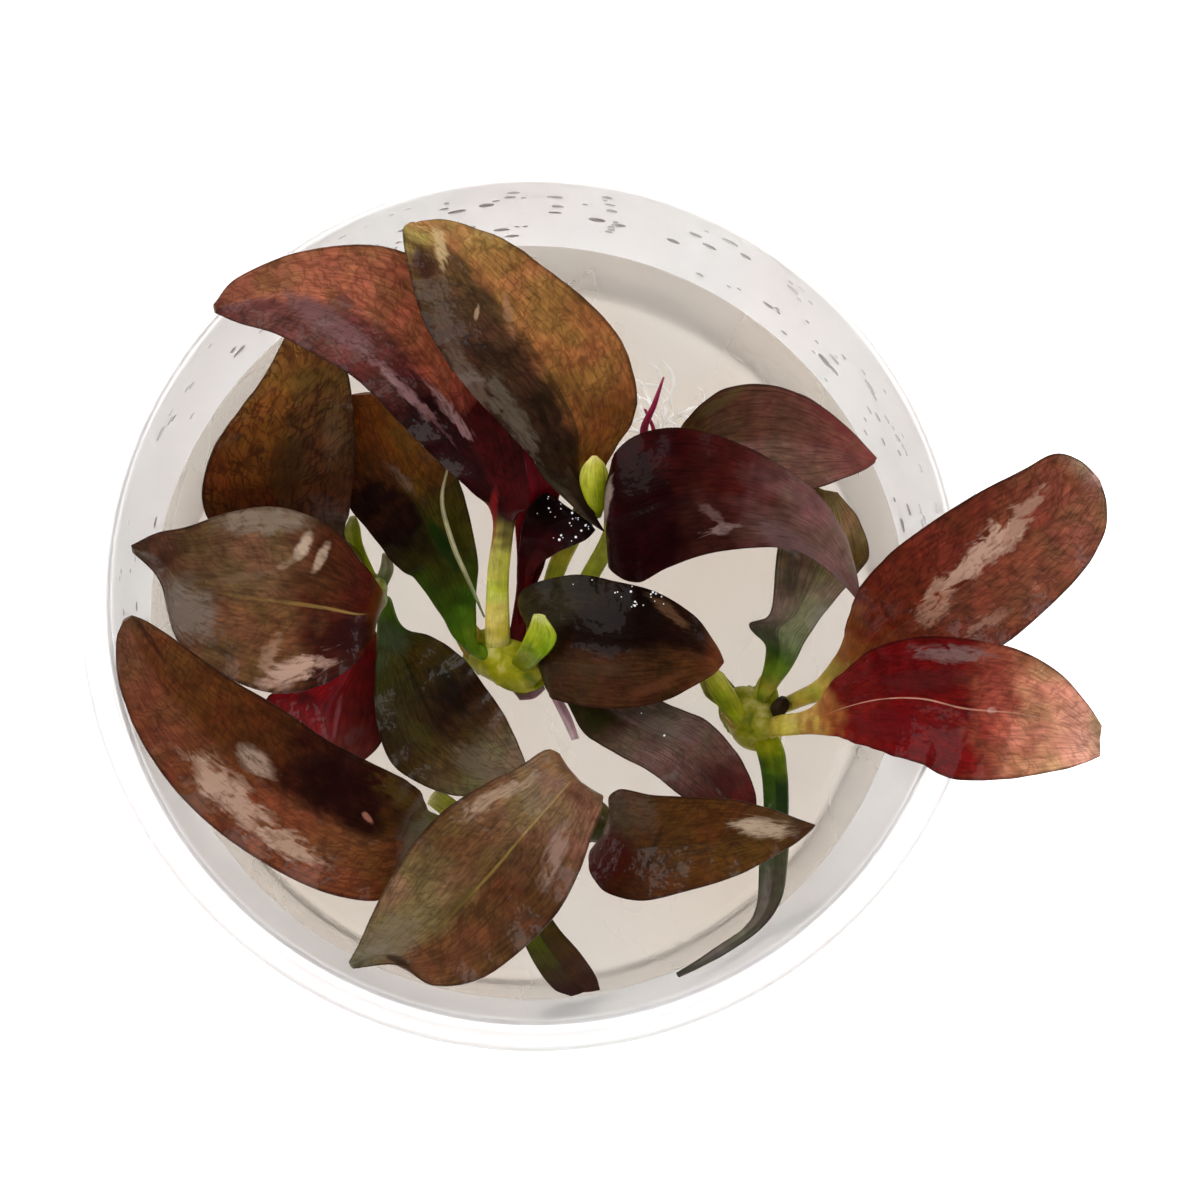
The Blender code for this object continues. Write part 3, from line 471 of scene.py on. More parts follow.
        near=((0, (120, 60, 30)), (0.2, (110, 14, 16)), (0.5, (104, 26, 24)),
            (0.8, (110, 50, 44)), (1, (70, 20, 20)),),
        far=((0, (120, 60, 30)), (0.2, (134, 8, 18)), (0.5, (134, 10, 22)),
            (0.8, (128, 40, 44)), (1, (70, 20, 20)),),
        patches=(
            (-22.2, -12.0, 5.7, 0.7, 80, (156, 84, 90), 0.6, 0.4),
            (-20.3, -13.9, 3.3, 1.5, 40, (112, 64, 64), 0.5, 0.5),
            (-25.7, -9.9, 2.7, 1.8, -30, (60, 14, 14), 0.6, 0.4),
        ),
    ),
    "centre_leaf": dict(
        slot='olive_leaf_skin', blade_from=0.1, net=0.35, long=0.4, rib=((24, 18, 8), 0.4, 0.02), wet=0.08, shine=0.05,
        near=((0, (90, 80, 30)), (0.15, (50, 44, 26)), (0.3, (38, 28, 16)), (0.5, (28, 14, 8)),
            (0.72, (40, 22, 14)), (0.86, (100, 54, 34)), (1, (96, 34, 30)),),
        far=((0, (90, 80, 30)), (0.15, (50, 34, 22)), (0.35, (66, 42, 26)),
            (0.6, (60, 36, 20)), (0.85, (102, 56, 34)), (1, (96, 34, 30)),),
        patches=(
            (9.0, -3.0, 14.4, 6.2, -4, (26, 10, 3), 0.9, 0.3),
            (7.5, -7.1, 8.8, 1.8, -6, (70, 52, 36), 0.5, 0.6),
            (15.1, -0.6, 6.6, 1.5, -42, (96, 68, 48), 0.7, 0.4),
            (3.1, -0.3, 5.5, 3.3, 30, (52, 48, 32), 0.5, 0.5),
            (13.7, -9.1, 7.7, 1.5, 22, (92, 54, 36), 0.6, 0.4),
        ),
    ),
    "short_dark_leaf": dict(
        slot='wine_leaf', blade_from=0.2, net=0.1, long=0.2, rib=((20, 6, 8), 0.4, 0.03), wet=0.12, shine=0.05,
        near=((0, (70, 10, 14)), (0.35, (52, 6, 8)), (0.55, (28, 10, 12)), (1, (20, 10, 12)),),
        far=((0, (84, 12, 20)), (0.35, (64, 8, 12)), (0.55, (34, 14, 16)), (1, (20, 10, 12)),),
    ),
    "lower_centre_leaf": dict(
        blade_from=0.08, net=0.3, long=0.45, rib=((60, 44, 36), 0.4, 0.02),
        near=((0, (90, 110, 15)), (0.12, (40, 46, 14)), (0.28, (78, 62, 54)),
            (0.5, (106, 86, 78)), (0.72, (92, 52, 48)), (0.86, (90, 32, 32)),
            (1, (66, 26, 26)),),
        far=((0, (90, 110, 15)), (0.12, (52, 60, 20)), (0.28, (54, 38, 22)),
            (0.55, (100, 80, 72)), (0.8, (74, 34, 28)), (1, (64, 26, 24)),),
        patches=(
            (7.6, -12.4, 3.3, 3.3, -30, (40, 44, 12), 0.7, 0.5),
            (15.2, -13.2, 7.7, 1.8, -28, (112, 94, 88), 0.5, 0.6),
            (21.9, -19.2, 4.4, 2.9, -60, (62, 28, 26), 0.7, 0.4),
        ),
    ),
    "centre_right_leaf": dict(
        slot='wine_leaf', blade_from=0.22, net=0.1, long=0.15, rib=((50, 20, 20), 0.2, 0.02), wet=0.06, shine=0.05,
        near=((0, (160, 168, 30)), (0.16, (160, 156, 60)), (0.25, (40, 6, 8)),
            (0.45, (44, 6, 8)), (0.6, (62, 24, 20)), (0.74, (102, 70, 68)),
            (0.9, (120, 94, 88)), (1, (104, 74, 68)),),
        far=((0, (160, 168, 30)), (0.16, (160, 156, 60)), (0.25, (30, 4, 6)),
            (0.45, (36, 8, 10)), (0.56, (58, 28, 24)), (0.7, (90, 60, 58)),
            (0.85, (112, 86, 80)), (1, (104, 74, 68)),),
        patches=(
            (11.6, 12.2, 8.8, 7.7, 0, (30, 3, 6), 0.8, 0.3),
            (21.0, 7.8, 4.9, 1.1, 12, (134, 108, 104), 0.7, 0.8),
            (19.7, 9.3, 3.3, 1.1, -40, (112, 88, 84), 0.5, 0.8),
            (28.5, 6.1, 9.9, 2.9, -32, (104, 80, 80), 0.6, 0.4),
            (34.8, 1.8, 4.4, 1.1, -50, (126, 104, 98), 0.6, 0.4),
            (8.2, 11.4, 5.1, 0.9, 80, (150, 132, 122), 0.7, 0.4),
        ),
    ),
    "upper_right_leaf": dict(
        blade_from=0.1, net=0.2, long=0.5, rib=((60, 36, 30), 0.4, 0.02),
        near=((0, (80, 90, 20)), (0.15, (76, 60, 28)), (0.35, (82, 54, 38)),
            (0.6, (100, 60, 52)), (0.85, (136, 76, 70)), (1, (110, 56, 50)),),
        far=((0, (80, 90, 20)), (0.15, (84, 66, 52)), (0.4, (108, 78, 68)),
            (0.7, (112, 74, 66)), (1, (110, 58, 52)),),
        patches=(
            (34.4, 20.5, 6.6, 1.1, -38, (112, 40, 46), 0.5, 0.4),
            (21.2, 23.3, 6.6, 1.3, 30, (84, 72, 40), 0.6, 0.4),
        ),
    ),
    "right_upright_leaf": dict(
        slot='olive_leaf_skin', blade_from=0.12, net=0.2, long=0.5, rib=((44, 40, 22), 0.5, 0.03),
        near=((0, (150, 150, 40)), (0.05, (84, 108, 20)), (0.14, (46, 66, 12)),
            (0.26, (64, 60, 46)), (0.45, (118, 102, 90)), (0.6, (100, 80, 62)),
            (0.8, (84, 60, 28)), (1, (110, 82, 40)),),
        far=((0, (156, 156, 50)), (0.05, (96, 120, 26)), (0.14, (70, 92, 30)),
            (0.3, (116, 114, 90)), (0.5, (134, 118, 96)), (0.65, (90, 70, 20)),
            (0.85, (150, 120, 84)), (1, (150, 120, 80)),),
        patches=(
            (29.2, 3.9, 6.6, 2.2, 80, (46, 40, 34), 0.6, 0.4),
            (32.8, -0.3, 5.5, 0.9, 55, (110, 104, 84), 0.6, 0.3),
        ),
    ),
    "outer_upper_leaf": dict(
        slot='copper_leaf', blade_from=0.2, net=0.5, long=0.25, rib=((120, 70, 52), 0.3, 0.015),
        near=((0, (170, 166, 60)), (0.1, (168, 148, 66)), (0.2, (122, 76, 34)),
            (0.3, (98, 34, 16)), (0.55, (104, 46, 32)), (0.8, (126, 70, 54)),
            (0.93, (160, 126, 114)), (1, (170, 144, 132)),),
        far=((0, (170, 166, 60)), (0.1, (156, 126, 50)), (0.2, (108, 52, 22)),
            (0.35, (98, 40, 24)), (0.6, (116, 64, 46)), (0.85, (128, 80, 62)),
            (1, (150, 116, 104)),),
        patches=(
            (50.1, 5.4, 9.9, 2.9, 42, (186, 148, 128), 0.9, 0.8),
            (44.0, -0.6, 6.6, 2.9, 60, (164, 120, 98), 0.8, 0.8),
            (49.3, -3.2, 5.5, 1.5, 24, (160, 120, 100), 0.5, 1.0),
            (53.2, 8.3, 6.6, 1.8, 52, (160, 118, 100), 0.8, 0.8),
            (46.2, 1.7, 7.1, 1.5, 30, (178, 142, 122), 0.8, 0.8),
        ),
    ),
    "outer_lower_leaf": dict(
        slot='copper_leaf', blade_from=0.14, net=0.4, long=0.3, rib=((206, 150, 128), 0.8, 0.01), wet=0.1, shine=0.05,
        near=((0, (186, 178, 60)), (0.07, (196, 182, 96)), (0.13, (158, 108, 58)),
            (0.22, (96, 22, 18)), (0.35, (90, 10, 12)), (0.54, (96, 18, 18)),
            (0.66, (146, 78, 62)), (0.74, (190, 128, 104)), (0.92, (200, 150, 126)),
            (1, (170, 126, 110)),),
        far=((0, (186, 178, 60)), (0.07, (190, 176, 84)), (0.13, (156, 108, 54)),
            (0.22, (104, 28, 20)), (0.4, (98, 8, 12)), (0.55, (106, 18, 18)),
            (0.67, (160, 90, 72)), (0.76, (196, 138, 112)), (0.92, (204, 156, 132)),
            (1, (180, 134, 116)),),
        patches=(
            (42.6, -9.6, 9.9, 2.7, 2, (76, 30, 30), 0.6, 0.5),
            (45.4, -7.0, 8.4, 1.8, -8, (122, 98, 94), 0.7, 0.6),
            (49.5, -13.1, 1.1, 0.7, 0, (220, 176, 160), 0.5, 0.3),
            (38.2, -14.1, 8.8, 3.8, -10, (92, 16, 20), 0.6, 0.4),
        ),
    ),
    "narrow_trailing_leaf": dict(
        slot='olive_leaf_skin', blade_from=0.42, net=0.0, long=0.4, wet=0.3, rib=((60, 60, 40), 0.3, 0.05),
        near=((0, (150, 152, 20)), (0.05, (84, 106, 4)), (0.14, (32, 56, 0)),
            (0.3, (36, 48, 4)), (0.42, (92, 88, 70)), (0.6, (84, 76, 68)), (1, (56, 50, 44)),),
        far=((0, (160, 160, 30)), (0.05, (110, 126, 10)), (0.12, (54, 82, 2)),
            (0.33, (56, 70, 16)), (0.45, (116, 108, 98)), (0.7, (100, 92, 84)),
            (1, (56, 50, 44)),),
    ),
    "front_right_leaf": dict(
        blade_from=0.1, net=0.45, long=0.3, rib=((50, 34, 12), 0.4, 0.02),
        near=((0, (100, 110, 30)), (0.12, (86, 70, 54)), (0.24, (84, 66, 50)),
            (0.36, (80, 48, 18)), (0.6, (80, 46, 14)), (0.8, (90, 60, 34)), (1, (66, 30, 18)),),
        far=((0, (100, 110, 30)), (0.08, (62, 24, 16)), (0.2, (64, 26, 18)),
            (0.3, (70, 36, 12)), (0.5, (78, 46, 10)), (0.75, (86, 54, 18)), (1, (66, 30, 18)),),
        patches=(
            (25.7, -25.0, 7.3, 2.2, -8, (178, 154, 130), 0.95, 0.4),
            (8.3, -28.0, 6.6, 7.1, 0, (72, 18, 14), 0.9, 0.3),
            (12.1, -23.1, 5.5, 4.4, -70, (84, 70, 56), 0.5, 0.5),
            (13.7, -27.2, 6.6, 0.7, 70, (40, 22, 10), 0.6, 0.5),
        ),
    ),
    "bud": dict(
        slot='crown_green', blade_from=0.9, net=0, long=0, fibres=14,
        near=((0, (104, 118, 4)), (0.45, (124, 136, 14)), (0.8, (160, 158, 50)),
            (1, (214, 206, 130)),),
        far=((0, (110, 122, 4)), (0.5, (112, 130, 8)), (0.8, (150, 156, 44)),
            (1, (206, 200, 124)),),
    ),
    "old_stalk": dict(
        slot='crown_green', blade_from=0.9, net=0, long=0, fibres=14,
        near=((0, (110, 120, 16)), (1, (168, 160, 70)),),
        far=((0, (96, 100, 12)), (1, (150, 120, 50)),),
    ),
}

# Small parts round the crowns, in rows as in LEAVES: thickness, look, then the rows.
SHEATHS = {
    "amber_sheath": (0.9, "amber_sheath", (
        (-2.6, -7.6, 24.9, -4.0, -9.8, 24.9, 0.4),
        (-4.6, -5.4, 26.6, -6.9, -7.3, 26.6, 0.7),
        (-6.4, -3.2, 28.2, -8.5, -5.0, 28.2, 0.5),
        (-8.0, -1.8, 29.4, -9.1, -2.8, 29.4, 0.2),
        (-8.8, -1.3, 29.9, -9.0, -1.5, 29.9, 0.0),
    )),
    "bud_sheath": (1.0, "green_sheath", (
        (-3.0, -8.4, 26.0, -1.4, -10.8, 25.4, 0.6),
        (-1.0, -5.8, 28.6, 0.6, -10.0, 27.2, 1.5),
        (0.6, -4.4, 30.0, 2.4, -8.0, 29.0, 1.6),
        (1.2, -3.6, 30.8, 2.7, -5.9, 30.2, 1.0),
        (1.5, -3.4, 31.2, 2.2, -4.4, 30.9, 0.3),
    )),
    "bud_tip": (0.6, "amber_sheath", (
        (-1.4, -6.2, 28.4, -0.2, -7.0, 28.4, 0.4),
        (-0.9, -4.2, 30.4, 0.5, -4.8, 30.4, 0.5),
        (-0.4, -2.9, 31.8, 0.4, -3.2, 31.8, 0.3),
        (0.0, -2.1, 32.6, 0.1, -2.2, 32.6, 0.0),
    )),
    "crimson_sheath": (0.8, "crimson_sheath", (
        (-2.8, -4.5, 29.4, -1.2, -5.0, 29.4, 0.2),
        (-2.0, 0.4, 31.8, -0.2, 0.2, 31.8, 0.3),
        (-1.9, 4.2, 34.0, 1.1, 3.6, 34.0, 0.4),
        (-2.2, 8.5, 37.0, 1.8, 7.6, 36.8, 0.5),
        (-2.7, 12.9, 40.0, 2.8, 12.4, 39.6, 0.5),
        (-3.4, 17.6, 41.6, 0.9, 16.8, 41.2, 0.2),
    )),
    "old_stalk_sheath": (1.1, "green_sheath", (
        (24.2, -14.2, 27.4, 22.8, -15.4, 27.4, 0.3),
        (22.6, -11.6, 28.8, 21.2, -13.4, 28.8, 0.6),
        (21.0, -8.9, 29.7, 19.3, -10.6, 29.7, 0.6),
        (19.6, -7.6, 30.2, 18.6, -8.6, 30.2, 0.3),
        (18.8, -7.4, 30.4, 18.5, -7.7, 30.4, 0.1),
    )),
    "dark_leaf_tip": (0.7, "dark_fold", (
        (26.2, -13.2, 29.4, 27.2, -13.3, 29.4, 0.2),
        (25.9, -12.3, 30.4, 27.8, -12.4, 30.4, 0.4),
        (26.3, -11.5, 31.0, 28.0, -11.7, 31.0, 0.3),
        (27.0, -11.1, 31.3, 27.6, -11.2, 31.3, 0.1),
    )),
    "top_leaf_sheath": (1.0, "green_sheath", (
        (6.5, 9.0, 40.2, 7.3, 8.8, 40.2, 0.2),
        (5.6, 10.9, 42.0, 7.9, 10.8, 41.8, -0.5),
        (5.0, 12.9, 43.6, 8.1, 12.9, 43.2, -0.6),
        (5.3, 14.4, 44.4, 7.8, 14.5, 44.2, -0.4),
        (6.3, 15.6, 44.8, 6.9, 15.6, 44.8, 0.0),
    )),
    "top_leaf_flap": (0.6, "dark_fold", (
        (-0.6, 16.0, 42.6, 2.8, 16.2, 43.4, 0.2),
        (1.0, 13.2, 41.6, 4.4, 13.4, 42.6, 0.3),
        (3.6, 10.6, 41.2, 5.9, 10.8, 41.8, 0.3),
        (6.0, 8.4, 41.0, 6.8, 8.8, 41.2, 0.1),
        (7.6, 7.2, 40.9, 7.7, 7.3, 40.9, 0.0),
    )),
    "inner_leaf_curl": (0.35, "pale_curl", (
        (-5.4, -2.2, 31.8, -5.6, -2.3, 31.8, 0.0),
        (-7.0, 1.8, 34.2, -7.4, 1.6, 34.0, 0.0),
        (-8.6, 5.6, 36.2, -9.1, 5.4, 35.9, 0.0),
        (-9.9, 10.4, 38.8, -10.3, 10.3, 38.5, 0.0),
        (-9.4, 14.3, 41.0, -9.6, 14.3, 40.9, 0.0),
    )),
    "upright_stalk_sheath": (1.2, "green_sheath", (
        (23.6, -13.6, 26.8, 26.4, -14.4, 26.8, 0.6),
        (24.0, -11.4, 28.8, 26.8, -12.0, 28.8, 0.7),
        (24.4, -9.6, 30.4, 26.6, -10.2, 30.4, 0.5),
        (25.2, -8.2, 31.8, 26.0, -8.6, 31.8, 0.1),
    )),
    "pink_root": (0.6, "pink_root", (
        (0.9, -9.4, 25.0, 2.4, -10.2, 25.0, 0.1),
        (2.5, -12.4, 24.8, 3.9, -12.9, 24.8, 0.1),
        (4.1, -15.8, 24.6, 4.9, -15.6, 24.6, 0.0),
    )),
    "brown_root": (0.9, "pink_root", (
        (-3.0, -9.6, 25.0, -1.6, -11.4, 25.0, 0.2),
        (-1.0, -8.9, 25.3, 0.0, -11.2, 25.3, 0.2),
        (0.6, -8.8, 25.0, 1.2, -10.2, 25.0, 0.1),
    )),
    "crimson_shoot": (0.6, "crimson_shoot", (
        (12.4, 15.0, 27.8, 13.3, 15.0, 27.8, 0.0),
        (11.6, 18.4, 30.4, 12.5, 18.4, 30.4, 0.0),
        (12.9, 21.4, 32.4, 13.5, 21.3, 32.4, 0.0),
        (14.1, 24.4, 34.0, 14.3, 24.3, 34.0, 0.0),
    )),
    "second_crimson_shoot": (0.4, "crimson_shoot", (
        (13.0, 15.2, 27.8, 13.5, 15.1, 27.8, 0.0),
        (12.9, 18.4, 29.6, 13.4, 18.3, 29.6, 0.0),
        (12.0, 20.8, 31.0, 12.3, 20.7, 31.0, 0.0),
    )),
    "left_back_sheath": (1.0, "green_sheath", (
        (-18.8, 1.6, 27.4, -17.4, 2.2, 27.4, 0.3),
        (-20.3, 4.6, 29.6, -18.8, 5.4, 29.6, 0.5),
        (-20.9, 6.8, 31.0, -19.2, 7.6, 31.0, 0.4),
        (-20.3, 8.4, 32.0, -19.6, 8.7, 32.0, 0.1),
    )),
    "left_pink_scale": (0.6, "pale_curl", (
        (-17.6, 1.2, 26.4, -16.4, 0.6, 26.4, 0.2),
        (-16.9, 3.2, 28.2, -15.5, 2.9, 28.2, 0.3),
        (-16.7, 4.6, 29.2, -16.0, 4.5, 29.2, 0.1),
    )),
    "front_left_sheath": (1.0, "green_sheath", (
        (-7.4, -26.0, 27.4, -6.2, -24.8, 27.4, 0.3),
        (-9.8, -24.2, 29.8, -8.4, -22.6, 29.8, 0.4),
        (-11.6, -22.8, 31.4, -10.4, -21.2, 31.4, 0.2),
    )),
    "small_scale": (0.4, "amber_sheath", (
        (22.8, -13.8, 27.4, 23.4, -15.0, 27.4, 0.2),
        (21.3, -13.4, 28.6, 21.8, -14.4, 28.6, 0.2),
        (20.4, -12.8, 29.2, 20.6, -13.0, 29.2, 0.0),
    )),
}
SHEATH_LOOKS = {
    "green_sheath": dict(
        blade_from=0.95, net=0, long=0, blush=0.4, fibres=16, slot="crown_green",
        near=((0, (136, 140, 16)), (0.4, (158, 158, 34)), (0.8, (184, 176, 76)),
            (1, (210, 200, 124)),),
        far=((0, (124, 132, 10)), (0.4, (140, 148, 16)), (0.8, (172, 170, 56)),
            (1, (202, 194, 108)),),
    ),
    "amber_sheath": dict(
        blade_from=0.95, net=0, long=0, blush=0.4, fibres=16, slot="crown_green",
        near=((0, (140, 140, 16)), (0.5, (186, 156, 60)), (1, (214, 180, 116)),),
        far=((0, (120, 126, 10)), (0.5, (162, 128, 36)), (1, (200, 164, 96)),),
    ),
    "crimson_sheath": dict(
        blade_from=0.95, net=0, long=0, blush=0.3, fibres=18, slot="wine_leaf",
        near=((0, (90, 20, 20)), (0.4, (78, 8, 14)), (0.7, (124, 14, 30)), (1, (140, 20, 38)),),
        far=((0, (90, 20, 20)), (0.4, (60, 6, 10)), (0.7, (96, 8, 20)), (1, (130, 16, 34)),),
        # The pink patch is a painted highlight on the sheath.
        patches=((-1.8, 14.4, 4.2, 1.5, 75, (176, 108, 112), 0.7, 0.4),),
    ),
    "dark_fold": dict(
        blade_from=0.95, net=0, long=0, blush=0.5, fibres=20, slot="olive_leaf_skin",
        near=((0, (44, 36, 22)), (0.5, (60, 46, 32)), (1, (38, 22, 16)),),
        far=((0, (60, 44, 26)), (0.5, (40, 26, 16)), (1, (26, 10, 12)),),
    ),
    "pale_curl": dict(
        blade_from=0.95, net=0, long=0, blush=0.4, fibres=12, slot="olive_leaf_skin",
        near=((0, (120, 130, 84)), (0.5, (164, 156, 124)), (1, (150, 132, 104)),),
        far=((0, (90, 104, 50)), (0.5, (132, 126, 92)), (1, (120, 104, 78)),),
    ),
    "pink_root": dict(
        blade_from=0.95, net=0, long=0, blush=0.4, fibres=14, slot="crown_green",
        near=((0, (150, 124, 110)), (0.4, (176, 140, 146)), (1, (214, 186, 190)),),
        far=((0, (136, 110, 100)), (0.4, (158, 112, 126)), (1, (196, 160, 170)),),
    ),
    "crimson_shoot": dict(
        blade_from=0.95, net=0, long=0, blush=0.4, fibres=8, slot="crimson_leaf",
        near=((0, (130, 40, 50)), (0.5, (168, 44, 84)), (1, (190, 70, 110)),),
        far=((0, (120, 30, 40)), (0.5, (140, 24, 60)), (1, (176, 50, 96)),),
    ),
}


class Paint:
    """Short ways to lay the nodes of one material."""

    def __init__(self, name, roughness=0.35, **sockets):
        self.material = bpy.data.materials.new(name)
        self.material.use_nodes = True
        self.tree = self.material.node_tree
        self.shader = self.tree.nodes["Principled BSDF"]
        self.shader.inputs["Roughness"].default_value = roughness
        for socket, value in sockets.items():
            self.shader.inputs[socket.replace("_", " ")].default_value = value

    def put(self, kind, inputs=(), **settings):
        node = self.tree.nodes.new(kind)
        for name, value in settings.items():
            setattr(node, name, value)
        for key, value in dict(inputs).items():
            self.feed(node.inputs[key], value)
        return node

    def feed(self, socket, value):
        if isinstance(value, bpy.types.NodeSocket):
            self.tree.links.new(value, socket)
        elif socket.type == "RGBA" and len(value) == 3:
            socket.default_value = (*value, 1.0)
        else:
            socket.default_value = value

    def sum(self, operation, first, second=0.0, third=0.0):
        inputs = {0: first, 1: second, 2: third}
        return self.put("ShaderNodeMath", inputs, operation=operation).outputs[0]

    def fade(self, value, start, end, low=0.0, high=1.0):
        """low before start, high after end, smooth in between."""
        if start > end:
            start, end, low, high = end, start, high, low
        inputs = {"Value": value, "From Min": start, "From Max": end}
        inputs.update({"To Min": low, "To Max": high})
        node = self.put("ShaderNodeMapRange", inputs, interpolation_type="SMOOTHSTEP")
        return node.outputs["Result"]

    def mix(self, share, first, second, blend="MIX"):
        node = self.put("ShaderNodeMix", data_type="RGBA", blend_type=blend)
        self.feed(node.inputs[0], share)
        self.feed(node.inputs[6], first)
        self.feed(node.inputs[7], second)
        return node.outputs[2]

    def noise(self, where, scale, detail=2.0, distortion=0.0):
        inputs = {"Vector": where, "Scale": scale, "Detail": detail}
        inputs["Distortion"] = distortion
        return self.put("ShaderNodeTexNoise", inputs).outputs["Fac"]

    def placed(self, where, location=(0, 0, 0), turn=0.0, scale=(1, 1, 1)):
        inputs = {"Vector": where, "Location": location, "Rotation": (0, 0, turn)}
        inputs["Scale"] = scale
        return self.put("ShaderNodeMapping", inputs, vector_type="TEXTURE").outputs[0]

    def ramp(self, value, stops):
        node = self.put("ShaderNodeValToRGB", {"Fac": value})
        bar = node.color_ramp.elements
        while len(bar) < len(stops):
            bar.new(0.5)
        for spot, (place, colour) in zip(bar, stops):
            spot.position = place
            spot.color = (*shade(*colour), 1.0)
        return node.outputs["Color"]

    def in_object(self):
        return self.put("ShaderNodeTexCoord").outputs["Object"]

    def map_of(self, name):
        return self.put("ShaderNodeUVMap", uv_map=name).outputs["UV"]

    def split(self, vector):
        return self.put("ShaderNodeSeparateXYZ", {0: vector}).outputs

    def joined(self, x, y, z=0.0):
        return self.put("ShaderNodeCombineXYZ", {0: x, 1: y, 2: z}).outputs[0]


